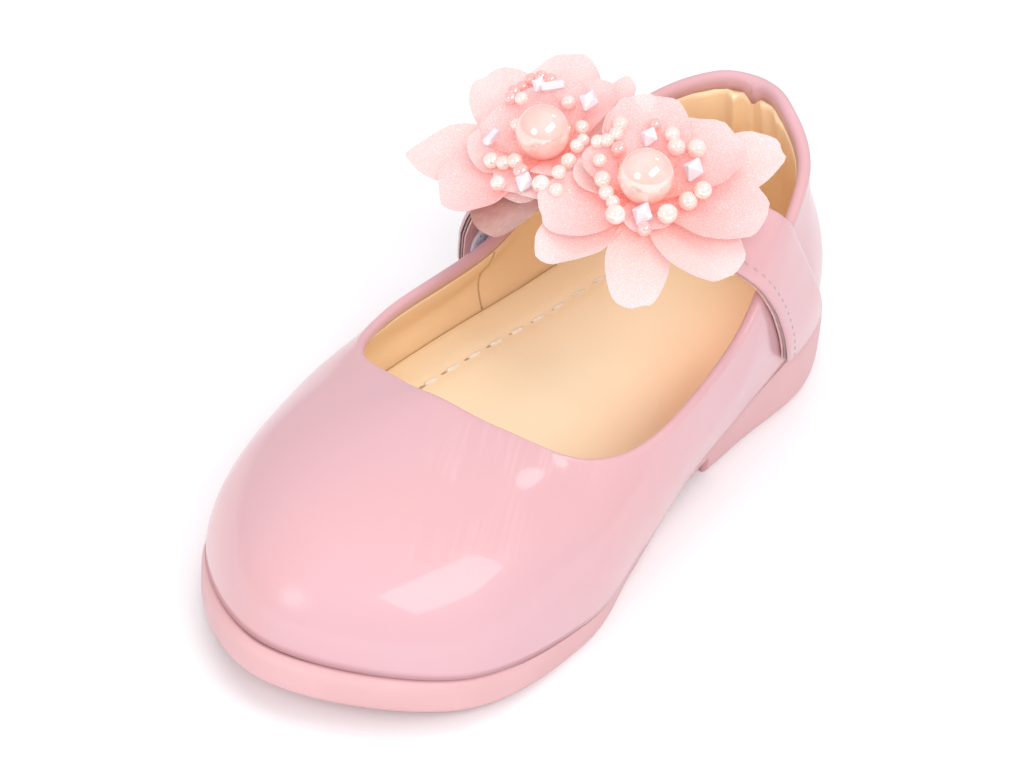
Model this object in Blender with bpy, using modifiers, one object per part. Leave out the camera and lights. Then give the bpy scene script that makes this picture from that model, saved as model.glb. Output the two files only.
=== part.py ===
# Baby pump shoe for the right foot: a patent upper on a unit sole, with a flower strap over the instep.
# The toe points to -Y, the medial side to +X, and the shoe stands on Z = 0.
# Tables and sizes are in millimetres; u runs from the heel to the toe along the foot.
import math
from collections import namedtuple

import bpy
from mathutils import Vector

MM = 0.001
SHOE = "baby_pump_shoe"

# Driving sizes
MIDDLE_U = 68.7          # the u that lies over the origin
MIDDLE_X = -1.45         # the x that lies over the origin
TOE_SWING = 1.6          # how far the toe leans to the medial side
SWING_START = 56.0
SWING_END = 134.0
GAP = 0.3                # between neighbouring pieces
LATERAL = -1
MEDIAL = 1
SHARP_ANGLE = math.radians(40)

# Upper
UPPER_WALL = 1.8
UPPER_STATIONS = 36      # along each side, heel to toe
UPPER_ROWS = 10          # feather line to top line

# Sole
BREAST_U = 50.5          # front face of the heel
BREAST_RUN = 0.8
ARCH_RISE = 2.4
ARCH_END = 70.0
SPRING_START = 95.0
SPRING_END = 135.0
TOE_SPRING = 5.6
SPRING_CURVE = 1.7       # how late the toe spring rises
SOLE_STATIONS = 44

# Insole
INSOLE_THICK = 1.6
INSOLE_INSET = 2.4
INSOLE_STATIONS = 28

# Strap and its fastener
STRAP_THICK = 1.6
STRAP_STEPS = 3          # sections between two rows of the strap's table
PAD_THICK = 0.9
LOOP_PAD_U = (33.0, 49.0)
LOOP_PAD_Z = (14.0, 24.0)
LOOP_PAD_STEPS = 6
HOOK_PAD_NARROWER = 1.2  # on each edge of the strap
FASTENER_GAP = 0.5       # between the two halves of the fastener

# Flowers
PETAL_THICK = 0.7
PETAL_SEAT = 0.5         # over the strap's middle, clear of its twist
PETAL_SECTORS = 54
PETAL_ROWS = 4
PETAL_BASE = 5.5         # radius of the sewn middle
PETAL_CUP = 1.4          # curl of the petals' sides
PETAL_BLUNT = 2.4        # how wide a petal stays towards its tip
PETAL_ROUND = 0.6
PETAL_LIFT = 1.5         # how late a petal bends up or down
PETAL_BLEND = 1.5        # how far the fall of one petal passes into the next
FLORET_SEAT = 0.6        # over the large petals, clear of their lift
FLORET_BASE = 6.8
FLORET_CUP = 0.6
PEARL_DIAMETER = 8.2
BEAD_DIAMETER = 3.0
BEAD_RING = 12.4         # diameter through the bead centres
BEADS = 12
BEAD_SECTIONS = (0.55, 0.88, 1.0, 0.88)
BEAD_SIDES = 6

# Colours, roughness
PINK_PATENT = ((0.86, 0.53, 0.58), 0.16)
PINK_SOLE = ((0.80, 0.46, 0.50), 0.55)
CREAM_INSOLE = ((0.86, 0.62, 0.40), 0.50)
LILAC_PAD = ((0.78, 0.74, 0.88), 0.90)
ORGANZA = ((0.95, 0.60, 0.58), 0.60)
PEARL = ((0.93, 0.58, 0.52), 0.12)
BEAD = ((0.96, 0.76, 0.68), 0.18)

# Feather line, where upper and sole meet, with the sole's overhang past it
Feather = namedtuple("Feather", "place u lateral medial z sole_lateral sole_medial")
FEATHER = (
    Feather("heel_back", 3.6, 0.0, 0.0, 12.0, 0.6, 0.6),
    Feather("heel_corner", 8.2, 14.0, 13.5, 12.0, 0.6, 0.8),
    Feather("heel_side", 22.0, 20.4, 20.2, 11.3, 0.6, 1.0),
    Feather("quarter", 42.0, 24.4, 21.9, 8.6, 0.5, -1.0),
    Feather("waist", 60.0, 27.0, 23.6, 7.4, 0.3, -2.2),
    Feather("joint", 78.0, 29.2, 26.3, 5.6, -0.1, -1.4),
    Feather("ball", 96.0, 27.9, 28.1, 4.8, -0.1, -0.2),
    Feather("toe_corner", 120.0, 21.0, 22.3, 8.0, 0.3, 0.7),
    Feather("toe_tip", 133.0, 0.0, 0.0, 10.6, 1.4, 1.4),
)
FEATHER_MIRRORED = ("lateral", "medial")

# Top line: collar at the back, sides of the opening, throat in front
TopLine = namedtuple("TopLine", "place u half z")
TOP_LINE = (
    TopLine("collar_back", 10.5, 0.0, 44.8),
    TopLine("collar_corner", 13.4, 7.2, 44.4),
    TopLine("collar_side", 20.5, 15.5, 39.2),
    TopLine("quarter", 38.0, 20.8, 31.4),
    TopLine("strap_front", 51.0, 22.8, 24.0),
    TopLine("waist", 73.5, 24.4, 22.4),
    TopLine("throat_corner", 86.3, 19.7, 23.9),
    TopLine("throat", 91.7, 8.4, 27.0),
    TopLine("throat_middle", 93.3, 0.0, 28.7),
)
TOP_MIRRORED = ("half",)

# Section of the upper: rise and outward lean at the feather line, fall and outward lean at the top line
Section = namedtuple("Section", "place rise lean fall over")
SECTION = (
    Section("heel_back", 14.0, 1.2, 12.0, 1.2),
    Section("heel_corner", 14.0, 1.1, 12.0, 1.2),
    Section("heel_side", 12.0, 1.0, 11.0, 1.1),
    Section("quarter", 10.0, 2.1, 9.0, 1.3),
    Section("waist", 9.0, 2.5, 8.0, 1.2),
    Section("joint", 9.5, 1.5, 6.4, 2.4),
    Section("ball", 11.8, 0.8, 3.8, 6.3),
    Section("toe_corner", 13.4, -0.3, 2.1, 13.6),
    Section("toe_tip", 14.5, -0.2, 1.1, 19.7),
)

# Side wall of the sole, top to bottom: height as a share of the wall, overhang as a share of the table's
WallStep = namedtuple("WallStep", "place height share extra")
SOLE_WALL = (
    WallStep("rim", 1.0, 0.2, 0.0),
    WallStep("lip", 0.86, 0.9, 0.1),
    WallStep("wall", 0.5, 1.0, 0.2),
    WallStep("edge", 0.14, 1.0, 0.1),
    WallStep("tread", 0.0, 1.0, -0.9),
)

# Strap: rows that lie on the quarter give u and z, rows over the instep give x, u and z
OnQuarter = namedtuple("OnQuarter", "u z half slant")
OverInstep = namedtuple("OverInstep", "x u z half slant")
STRAP_MEDIAL = (
    OnQuarter(26.6, 13.4, 6.6, 6.0),
    OnQuarter(29.2, 18.2, 6.2, 16.0),
    OnQuarter(32.6, 23.8, 5.8, 25.0),
    OnQuarter(36.4, 29.6, 5.7, 26.0),
)
STRAP_INSTEP = (
    OverInstep(20.6, 41.6, 36.6, 5.7, 26.0),
    OverInstep(14.4, 46.2, 40.2, 5.8, 18.0),
    OverInstep(4.2, 49.4, 41.7, 5.8, 10.0),
    OverInstep(-4.0, 50.2, 41.7, 5.8, 6.0),
    OverInstep(-11.8, 50.2, 40.2, 5.8, 4.0),
    OverInstep(-18.8, 49.4, 36.4, 5.8, 10.0),
    OverInstep(-23.6, 48.2, 31.4, 5.8, 18.0),
    OverInstep(-26.2, 46.6, 26.6, 5.8, 24.0),
)
STRAP_LATERAL = (
    OnQuarter(44.6, 21.8, 5.8, 27.0),
    OnQuarter(42.3, 17.4, 5.8, 27.0),
    OnQuarter(41.0, 15.0, 4.8, 27.0),
    OnQuarter(40.2, 13.6, 2.8, 27.0),
)

# Petals: bearing from the medial side towards the toe, length, half spread in degrees, fall of the tip
Petal = namedtuple("Petal", "bearing length spread fall")
LATERAL_FLOWER = (
    Petal(64.0, 15.0, 22.0, -0.5),
    Petal(116.0, 17.5, 28.0, 0.5),
    Petal(156.0, 19.8, 23.0, -4.0),
    Petal(213.0, 21.1, 24.0, -8.0),
    Petal(245.0, 22.0, 22.0, -8.0),
    Petal(279.0, 18.8, 18.0, -5.0),
)
MEDIAL_FLOWER = (
    Petal(118.0, 18.7, 24.0, 2.2),
    Petal(71.0, 19.3, 17.0, 2.2),
    Petal(24.0, 19.8, 22.0, -0.5),
    Petal(348.0, 18.5, 22.0, -2.5),
    Petal(305.0, 22.0, 16.0, -1.5),
    Petal(282.0, 17.5, 20.0, -3.5),
    Petal(247.0, 16.5, 20.0, -6.5),
)
FLORETS = (
    Petal(20.0, 9.0, 30.0, -3.0),
    Petal(92.0, 11.2, 30.0, -3.0),
    Petal(164.0, 8.8, 30.0, -3.0),
    Petal(236.0, 10.8, 30.0, -3.4),
    Petal(308.0, 11.0, 30.0, -3.2),
)

# The strap's row that carries each flower, counted along STRAP_INSTEP, and how far ahead of its middle it is sewn
Flower = namedtuple("Flower", "name row ahead petals")
FLOWERS = (
    Flower("flower_medial", 2, 2.2, MEDIAL_FLOWER),
    Flower("flower_lateral", 4, 0.0, LATERAL_FLOWER),
)


def blend(rows, t, mirrored=()):
    """Smooth row of a table at station t; mirrored columns change sign past the heel and the toe."""
    last = len(rows) - 1
    i = max(0, min(int(t), last - 1))
    f = t - i

    def value(k, column):
        inside = -k if k < 0 else 2 * last - k if k > last else k
        sign = -1.0 if column in mirrored and inside != k else 1.0
        return sign * getattr(rows[inside], column)

    result = {}
    for column in rows[0]._fields:
        if column == "place":
            continue
        a, b, c, d = (value(i + step, column) for step in (-1, 0, 1, 2))
        curve = (2 * a - 5 * b + 4 * c - d) * f ** 2 + (3 * b - a - 3 * c + d) * f ** 3
        result[column] = 0.5 * (2 * b + (c - a) * f + curve)
    return rows[i]._replace(**result)


def smooth_step(value):
    share = max(0.0, min(1.0, value))
    return share * share * (3.0 - 2.0 * share)


def swung(point):
    """The point moved sideways with the foot's curve."""
    lean = TOE_SWING * smooth_step((point.y - SWING_START) / (SWING_END - SWING_START))
    return Vector((point.x + lean, point.y, point.z))


def placed(point):
    """From the foot's x, u and z in millimetres to the model's metres."""
    return Vector((point.x - MIDDLE_X, MIDDLE_U - point.y, point.z)) * MM


def feather_point(side, t):
    row = blend(FEATHER, t, FEATHER_MIRRORED)
    half = row.medial if side == MEDIAL else row.lateral
    return Vector((side * half, row.u, row.z))


def outward(side, t):
    """Direction straight out of the feather line, level with the floor."""
    step = 0.02
    run = feather_point(side, t + step) - feather_point(side, t - step)
    return Vector((side * run.y, -side * run.x, 0.0)).normalized()


def upper_point(side, t, v):
    """Outer face of the upper: t runs from heel to toe, v from the feather line to the top line."""
    top = blend(TOP_LINE, t, TOP_MIRRORED)
    section = blend(SECTION, t)
    out = outward(side, t)
    low = feather_point(side, t)
    high = Vector((side * top.half, top.u, top.z))
    low_pull = low + out * section.lean + Vector((0, 0, section.rise))
    high_pull = high + out * section.over - Vector((0, 0, section.fall))
    w = 1.0 - v
    return swung(low * w ** 3 + low_pull * 3 * v * w * w + high_pull * 3 * v * v * w + high * v ** 3)


def upper_normal(side, t, v):
    step = 0.01
    along = upper_point(side, t + step, v) - upper_point(side, t - step, v)
    rise = upper_point(side, t, v + step) - upper_point(side, t, v - step)
    return (along.cross(rise) * side).normalized()


def on_quarter(side, u, z, stand_off):
    """Point that stands off the upper's outer face where that face has the given u and z."""
    t, v, step = 3.0, 0.5, 0.01
    for _ in range(12):
        here = upper_point(side, t, v)
        by_t = (upper_point(side, t + step, v) - here) / step
        by_v = (upper_point(side, t, v + step) - here) / step
        determinant = by_t.y * by_v.z - by_v.y * by_t.z
        du, dz = u - here.y, z - here.z
        t += (du * by_v.z - dz * by_v.y) / determinant
        v += (dz * by_t.y - du * by_t.z) / determinant
    return upper_point(side, t, v) + upper_normal(side, t, v) * stand_off


def loop_stations(count, extra=()):
    """Stations round the shoe: heel to toe on the lateral side, then back on the medial side."""
    last = len(FEATHER) - 1
    steps = sorted([last * i / count for i in range(count + 1)] + list(extra))
    return [(LATERAL, t) for t in steps] + [(MEDIAL, t) for t in reversed(steps[1:-1])]


def station_at(u):
    """Station of the feather line that lies at u."""
    low, high = 0.0, float(len(FEATHER) - 1)
    for _ in range(40):
        middle = (low + high) / 2
        if blend(FEATHER, middle, FEATHER_MIRRORED).u < u:
            low = middle
        else:
            high = middle
    return (low + high) / 2


def ring_faces(rings, count):
    """Quads between neighbouring closed rings of count points."""
    faces = []
    for r in range(rings - 1):
        for k in range(count):
            n = (k + 1) % count
            faces.append((r * count + k, r * count + n, (r + 1) * count + n, (r + 1) * count + k))
    return faces


def cross_faces(first, count, upward):
    """Strip of faces across a loop that starts at the heel, from its lateral to its medial points."""
    faces = []
    for k in range(count // 2):
        face = [first + i for i in dict.fromkeys((k, k + 1, count - k - 1, (count - k) % count))]
        faces.append(face if upward else face[::-1])
    return faces


def add_piece(name, points, faces, finish, thick=0.0, inward=True):
    """One sub-part from its points in millimetres; an open face gets its thickness from Solidify."""
    mesh = bpy.data.meshes.new(name)
    mesh.from_pydata([placed(point) for point in points], [], faces)
    piece = bpy.data.objects.new(name, mesh)
    dress(piece, finish)
    if thick:
        wall = piece.modifiers.new("wall", "SOLIDIFY")
        wall.thickness = thick * MM
        wall.offset = -1.0 if inward else 0.0
    return piece


def dress(piece, finish):
    """Put a sub-part in the shoe's collection with its own material."""
    colour, roughness = finish
    material = bpy.data.materials.new(piece.name)
    material.use_nodes = True
    shader = material.node_tree.nodes["Principled BSDF"]
    shader.inputs["Base Color"].default_value = (*colour, 1.0)
    shader.inputs["Roughness"].default_value = roughness
    shader.inputs["Metallic"].default_value = 0.0
    piece.data.materials.append(material)
    piece.data.shade_smooth()
    piece.data.set_sharp_from_angle(angle=SHARP_ANGLE)
    shoe.objects.link(piece)
    piece.parent = origin


def tread_height(u):
    """Underside of the sole: flat heel, arch behind the ball, flat forefoot and toe spring."""
    if u < BREAST_U:
        return 0.0
    if u < ARCH_END:
        return ARCH_RISE * (1.0 - smooth_step((u - BREAST_U) / (ARCH_END - BREAST_U)))
    if u < SPRING_START:
        return 0.0
    return TOE_SPRING * ((u - SPRING_START) / (SPRING_END - SPRING_START)) ** SPRING_CURVE


def make_outsole():
    """Unit sole: side wall rings from the rim to the tread, closed across top and bottom."""
    breast = [station_at(BREAST_U + step * BREAST_RUN / 2) for step in (-1, 1)]
    stations = loop_stations(SOLE_STATIONS, breast)
    points = []
    for step in SOLE_WALL:
        for side, t in stations:
            row = blend(FEATHER, t, FEATHER_MIRRORED)
            overhang = row.sole_medial if side == MEDIAL else row.sole_lateral
            point = feather_point(side, t) + outward(side, t) * (overhang * step.share + step.extra)
            low = tread_height(row.u)
            point.z = low + step.height * (row.z - GAP - low)
            points.append(swung(point))
    count = len(stations)
    faces = [face[::-1] for face in ring_faces(len(SOLE_WALL), count)]
    faces += cross_faces(0, count, True)
    faces += cross_faces((len(SOLE_WALL) - 1) * count, count, False)
    add_piece("outsole", points, faces, PINK_SOLE)


def make_upper():
    """Lasted upper: the outer face from feather line to top line, thickened inwards."""
    stations = loop_stations(UPPER_STATIONS)
    points = []
    for r in range(UPPER_ROWS + 1):
        points += [upper_point(side, t, r / UPPER_ROWS) for side, t in stations]
    faces = ring_faces(UPPER_ROWS + 1, len(stations))
    add_piece("upper", points, faces, PINK_PATENT, UPPER_WALL)


def make_insole():
    """Insole board that lies on the sole just inside the upper."""
    stations = loop_stations(INSOLE_STATIONS)
    points = []
    for rise in (0.0, INSOLE_THICK):
        for side, t in stations:
            point = feather_point(side, t) - outward(side, t) * INSOLE_INSET
            points.append(swung(point + Vector((0, 0, rise))))
    count = len(stations)
    faces = ring_faces(2, count) + cross_faces(count, count, True) + cross_faces(0, count, False)
    add_piece("insole", points, faces, CREAM_INSOLE)


StrapRow = namedtuple("StrapRow", "front middle back")


def quarter_row(side, row, stand_off):
    """Front edge, middle and back edge of the strap, each standing off the quarter by the same amount."""
    slant = math.radians(row.slant)
    points = []
    for share in (-row.half, 0.0, row.half):
        u = row.u - share * math.cos(slant)
        z = row.z + share * math.sin(slant)
        points.append(on_quarter(side, u, z, stand_off))
    return StrapRow(*points)


def strap_rows():
    """The strap's rows from its sewn medial end over the instep to the tail on the lateral quarter."""
    sewn = GAP + STRAP_THICK / 2
    fastened = 2 * GAP + FASTENER_GAP + 2 * PAD_THICK + STRAP_THICK / 2
    rows = [quarter_row(MEDIAL, row, sewn) for row in STRAP_MEDIAL]
    tail = [quarter_row(LATERAL, row, fastened) for row in STRAP_LATERAL]
    path = [rows[-1].middle]
    path += [Vector((row.x, row.u, row.z)) for row in STRAP_INSTEP]
    path += [tail[0].middle]
    for k, row in enumerate(STRAP_INSTEP, 1):
        run = (path[k + 1] - path[k - 1]).normalized()
        slant = math.radians(row.slant)
        back = Vector((0.0, -math.cos(slant), math.sin(slant)))
        edge = (back - run * back.dot(run)).normalized() * row.half
        rows.append(StrapRow(path[k] - edge, path[k], path[k] + edge))
    return rows + tail


def strap_frame(rows, t):
    """The strap's section at row t, with the direction to its back edge and its outward normal."""
    step = 0.05
    last = len(rows) - 1
    row = end_blend(rows, t)
    run = end_blend(rows, min(last, t + step)).middle - end_blend(rows, max(0, t - step)).middle
    back = (row.back - row.front).normalized()
    return row, back, run.cross(back).normalized()


def end_blend(rows, t):
    """Smooth strap row at t, straight at both ends."""
    last = len(rows) - 1
    i = max(0, min(int(t), last - 1))
    f = t - i
    a, b, c, d = (rows[max(0, min(last, i + step))] for step in (-1, 0, 1, 2))

    def curve(w, x, y, z):
        bend = (w * 2 - x * 5 + y * 4 - z) * f ** 2 + (x * 3 - w - y * 3 + z) * f ** 3
        return (x * 2 + (y - w) * f + bend) * 0.5

    return StrapRow(*(curve(*columns) for columns in zip(a, b, c, d)))


def add_band(name, rows, start, narrower, inner, outer, finish):
    """Closed band along the strap from row start to the tail, between two heights over its middle."""
    steps = round((len(rows) - 1 - start) * STRAP_STEPS)
    points = []
    for k in range(steps + 1):
        row, back, normal = strap_frame(rows, start + k / STRAP_STEPS)
        across = (row.back - back * narrower, row.middle, row.front + back * narrower)
        points += [point + normal * inner for point in across]
        points += [point + normal * outer for point in reversed(across)]
    ring = 6
    faces = ring_faces(steps + 1, ring)
    faces += [tuple(reversed(range(ring))), tuple(range(steps * ring, (steps + 1) * ring))]
    add_piece(name, points, faces, finish)


def make_strap(rows):
    half_thick = STRAP_THICK / 2
    add_band("strap", rows, 0, 0.0, -half_thick, half_thick, PINK_PATENT)
    first_lateral = len(STRAP_MEDIAL) + len(STRAP_INSTEP)
    under = -half_thick - GAP
    add_band("hook_pad", rows, first_lateral, HOOK_PAD_NARROWER, under - PAD_THICK, under, LILAC_PAD)


def make_loop_pad():
    """Loop half of the fastener, lying on the lateral quarter under the strap's tail."""
    points = []
    for i in range(LOOP_PAD_STEPS + 1):
        u = LOOP_PAD_U[0] + (LOOP_PAD_U[1] - LOOP_PAD_U[0]) * i / LOOP_PAD_STEPS
        for j in range(LOOP_PAD_STEPS + 1):
            z = LOOP_PAD_Z[0] + (LOOP_PAD_Z[1] - LOOP_PAD_Z[0]) * j / LOOP_PAD_STEPS
            points.append(on_quarter(LATERAL, u, z, GAP + PAD_THICK))
    width = LOOP_PAD_STEPS + 1
    faces = []
    for i in range(LOOP_PAD_STEPS):
        for j in range(LOOP_PAD_STEPS):
            k = i * width + j
            faces.append((k, k + width, k + width + 1, k + 1))
    add_piece("loop_pad", points, faces, LILAC_PAD, PAD_THICK)


def petal_ring(petals, base, cup, bearing):
    """Outline radius at a bearing, the tip's fall there and the edge's curl."""
    reach, fall, weight, curl = base, 0.0, 1e-6, 0.0
    for petal in petals:
        off = (bearing - petal.bearing + 180.0) % 360.0 - 180.0
        share = abs(off) / petal.spread
        near = math.exp(-share * share * PETAL_BLEND)
        fall += petal.fall * near
        weight += near
        if share < 1.0:
            out = base + (petal.length - base) * (1.0 - share ** PETAL_BLUNT) ** PETAL_ROUND
            if out > reach:
                reach = out
                curl = cup * share * share
    return reach, fall / weight, curl


def add_petals(name, frame, petals, base, cup, height):
    """One layer of petals as an open rosette round the flower's middle, thickened both ways."""
    middle, across, toeward, normal = frame
    longest = max(petal.length for petal in petals)
    points = [middle + normal * height]
    for r in range(1, PETAL_ROWS + 1):
        share = r / PETAL_ROWS
        for k in range(PETAL_SECTORS):
            bearing = 360.0 * k / PETAL_SECTORS
            reach, fall, curl = petal_ring(petals, base, cup, bearing)
            radius = base * share * 2 if share <= 0.5 else base + (reach - base) * (share - 0.5) * 2
            spread = max(0.0, radius - base) / (longest - base)
            lift = height - fall * spread ** PETAL_LIFT + curl * spread
            turn = math.radians(bearing)
            flat = across * math.cos(turn) + toeward * math.sin(turn)
            points.append(middle + flat * radius + normal * lift)
    faces = [(0, 1 + (k + 1) % PETAL_SECTORS, 1 + k)[::-1] for k in range(PETAL_SECTORS)]
    for face in ring_faces(PETAL_ROWS, PETAL_SECTORS):
        faces.append([1 + i for i in face][::-1])
    add_piece(name, points, faces, ORGANZA, PETAL_THICK, inward=False)


def add_beads(name, frame, height):
    """Ring of strung beads: a closed string whose girth swells at each bead."""
    middle, across, toeward, normal = frame
    sections = BEADS * len(BEAD_SECTIONS)
    points = []
    for k in range(sections):
        turn = math.tau * k / sections
        out = across * math.cos(turn) + toeward * math.sin(turn)
        girth = BEAD_DIAMETER / 2 * BEAD_SECTIONS[k % len(BEAD_SECTIONS)]
        for s in range(BEAD_SIDES):
            swing = math.tau * s / BEAD_SIDES
            reach = BEAD_RING / 2 + girth * math.cos(swing)
            points.append(middle + out * reach + normal * (height + girth * math.sin(swing)))
    faces = ring_faces(sections + 1, BEAD_SIDES)
    total = len(points)
    add_piece(name, points, [[i % total for i in face] for face in faces], BEAD)


def add_pearl(name, frame, height):
    middle, _, _, normal = frame
    centre = placed(middle + normal * height)
    bpy.ops.mesh.primitive_ico_sphere_add(subdivisions=3, radius=PEARL_DIAMETER / 2 * MM, location=centre)
    pearl = bpy.context.object
    pearl.name = name
    for collection in list(pearl.users_collection):
        collection.objects.unlink(pearl)
    dress(pearl, PEARL)


def make_flower(rows, flower):
    """Two layers of petals, the bead ring and the pearl, stacked on the strap's outer face."""
    row, back, normal = strap_frame(rows, len(STRAP_MEDIAL) + flower.row)
    toeward = -back
    middle = row.middle + normal * (STRAP_THICK / 2) + toeward * flower.ahead
    frame = (middle, toeward.cross(normal), toeward, normal)
    petals_at = PETAL_SEAT + PETAL_THICK / 2
    florets_at = petals_at + FLORET_SEAT + PETAL_THICK
    top = florets_at + PETAL_THICK / 2 + GAP
    add_petals(flower.name + "_petals", frame, flower.petals, PETAL_BASE, PETAL_CUP, petals_at)
    add_petals(flower.name + "_florets", frame, FLORETS, FLORET_BASE, FLORET_CUP, florets_at)
    add_beads(flower.name + "_beads", frame, top + BEAD_DIAMETER / 2)
    add_pearl(flower.name + "_pearl", frame, top + PEARL_DIAMETER / 2)


for item in list(bpy.data.objects):
    bpy.data.objects.remove(item, do_unlink=True)
shoe = bpy.data.collections.new(SHOE)
bpy.context.scene.collection.children.link(shoe)
origin = bpy.data.objects.new(SHOE + "_origin", None)
shoe.objects.link(origin)

make_outsole()
make_upper()
make_insole()
strap_table = strap_rows()
make_strap(strap_table)
make_loop_pad()
for flower_on_strap in FLOWERS:
    make_flower(strap_table, flower_on_strap)
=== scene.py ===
import math
from collections import namedtuple

import bmesh
import bpy
import numpy as np
from mathutils import Matrix, Vector, noise


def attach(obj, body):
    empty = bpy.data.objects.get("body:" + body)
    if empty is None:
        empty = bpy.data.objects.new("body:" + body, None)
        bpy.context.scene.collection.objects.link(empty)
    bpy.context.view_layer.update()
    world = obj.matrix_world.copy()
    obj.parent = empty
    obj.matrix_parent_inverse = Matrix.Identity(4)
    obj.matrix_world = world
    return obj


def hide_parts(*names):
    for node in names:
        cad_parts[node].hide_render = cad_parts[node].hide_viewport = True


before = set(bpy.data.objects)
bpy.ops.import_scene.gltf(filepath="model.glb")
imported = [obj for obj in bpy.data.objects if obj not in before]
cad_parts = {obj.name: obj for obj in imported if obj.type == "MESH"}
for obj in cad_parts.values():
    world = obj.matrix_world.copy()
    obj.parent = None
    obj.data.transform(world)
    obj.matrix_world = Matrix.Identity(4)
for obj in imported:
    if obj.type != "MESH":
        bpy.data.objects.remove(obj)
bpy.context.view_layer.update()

# Sole
# A unit sole moulded in one piece of soft pink rubber: low heel, arch, toe spring and a plain wall.
# It is cemented under the lasted upper, and its rim tucks in below the feather line.
# Sizes are in millimetres over the foot: x to the medial side, u from heel to toe, z up from the floor.
MM = 0.001
MIDDLE_X = -1.45
MIDDLE_U = 68.7
TOE_SWING = 1.6
SWING_START = 56.0
SWING_END = 134.0
LATERAL = -1
MEDIAL = 1

Feather = namedtuple("Feather", "place u lateral medial z sole_lateral sole_medial")
FEATHER = (
    Feather("heel_back", 3.6, 0.0, 0.0, 12.0, 0.6, 0.6),
    Feather("heel_corner", 8.2, 14.0, 13.5, 12.0, 0.6, 0.8),
    Feather("heel_side", 22.0, 20.4, 20.2, 11.3, 0.6, 1.0),
    Feather("quarter", 42.0, 24.4, 21.9, 8.6, 0.5, -1.0),
    Feather("waist", 60.0, 27.0, 23.6, 7.4, 0.3, -2.2),
    Feather("joint", 78.0, 29.2, 26.3, 5.6, -0.1, -1.4),
    Feather("ball", 96.0, 27.9, 28.1, 4.8, -0.1, -0.2),
    Feather("toe_corner", 120.0, 21.0, 22.3, 8.0, 0.3, 0.7),
    Feather("toe_tip", 133.0, 0.0, 0.0, 10.6, 1.4, 1.4),
)
FEATHER_MIRRORED = ("lateral", "medial")
LAST_STATION = len(FEATHER) - 1

WallStep = namedtuple("WallStep", "place height share extra")
SOLE_WALL = (
    WallStep("rim", 1.0, 0.2, 0.0),
    WallStep("lip", 0.86, 0.9, 0.1),
    WallStep("wall", 0.5, 1.0, 0.2),
    WallStep("edge", 0.14, 1.0, 0.1),
    WallStep("tread", 0.0, 1.0, -0.9),
)
WALL_ROWS = 17
SOLE_STATIONS = 150
SOLE_COLUMNS = 72
SOLE_TOP_COLUMNS = 8
SOLE_GAP = 0.3
BREAST_U = 50.5
BREAST_RUN = 0.8
BREAST_STEPS = (-0.5, -0.15, 0.15, 0.5)
HALVINGS = 40
ARCH_RISE = 2.4
ARCH_END = 70.0
SPRING_START = 95.0
SPRING_END = 135.0
SPRING_CURVE = 1.7
TOE_SPRING = 5.6
RIB_PITCH = 4.4
RIB_WAVE = 1.3
RIB_WAVE_LENGTH = 17.0
RIB_DEPTH = 0.6
RIB_BORDER = 5.0
RIB_FADE = 1.5
RIB_STEEP = 1.6
SOLE_SHARP = 50.0
HEEL_RIBS = (9.0, 45.0)
FOREFOOT_RIBS = (71.0, 124.0)


def smooth_between(a, b, c, d, f):
    """Value or point a share f of the way from b to c, on a smooth curve through all four."""
    bend = (a * 2 - b * 5 + c * 4 - d) * f ** 2 + (b * 3 - a - c * 3 + d) * f ** 3
    return (b * 2 + (c - a) * f + bend) * 0.5


def blend(rows, t, mirrored=()):
    """Smooth row of a table at station t; mirrored columns change sign past the heel and the toe."""
    last = len(rows) - 1
    i = max(0, min(int(t), last - 1))
    f = t - i

    def value(k, column):
        inside = -k if k < 0 else 2 * last - k if k > last else k
        sign = -1.0 if column in mirrored and inside != k else 1.0
        return sign * getattr(rows[inside], column)

    result = {}
    for column in rows[0]._fields:
        if column == "place":
            continue
        result[column] = smooth_between(*(value(i + step, column) for step in (-1, 0, 1, 2)), f)
    return rows[i]._replace(**result)


def smooth_step(value):
    """Ease from 0 to 1."""
    share = max(0.0, min(1.0, value))
    return share * share * (3.0 - 2.0 * share)


def swung(point):
    """The point moved sideways with the foot's curve."""
    lean = TOE_SWING * smooth_step((point.y - SWING_START) / (SWING_END - SWING_START))
    return Vector((point.x + lean, point.y, point.z))


def placed(point):
    """From the foot's x, u and z in millimetres to the frame's metres."""
    return Vector((point[0] - MIDDLE_X, MIDDLE_U - point[1], point[2])) * MM


def feather_point(side, t):
    """Point of the feather line, where the upper meets the sole."""
    row = blend(FEATHER, t, FEATHER_MIRRORED)
    half = row.medial if side == MEDIAL else row.lateral
    return Vector((side * half, row.u, row.z))


def outward(side, t):
    """Direction straight out of the feather line, level with the floor."""
    step = 0.02
    run = feather_point(side, t + step) - feather_point(side, t - step)
    return Vector((side * run.y, -side * run.x, 0.0)).normalized()


def loop_stations(count, extra=()):
    """Stations round the shoe: heel to toe on the lateral side, then back on the medial side."""
    steps = sorted([LAST_STATION * i / count for i in range(count + 1)] + list(extra))
    return [(LATERAL, t) for t in steps] + [(MEDIAL, t) for t in reversed(steps[1:-1])]


def station_at(u):
    """Station of the feather line that lies at u."""
    low, high = 0.0, float(LAST_STATION)
    for _ in range(HALVINGS):
        middle = (low + high) / 2
        if blend(FEATHER, middle, FEATHER_MIRRORED).u < u:
            low = middle
        else:
            high = middle
    return (low + high) / 2


def loft_faces(rings, count, closed_rings=False):
    """Quads between neighbouring closed rings of count points; closed_rings joins the last to the first."""
    faces = []
    for r in range(rings if closed_rings else rings - 1):
        below, above = r * count, (r + 1) % rings * count
        for k in range(count):
            n = (k + 1) % count
            faces.append((below + k, below + n, above + n, above + k))
    return faces


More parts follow.
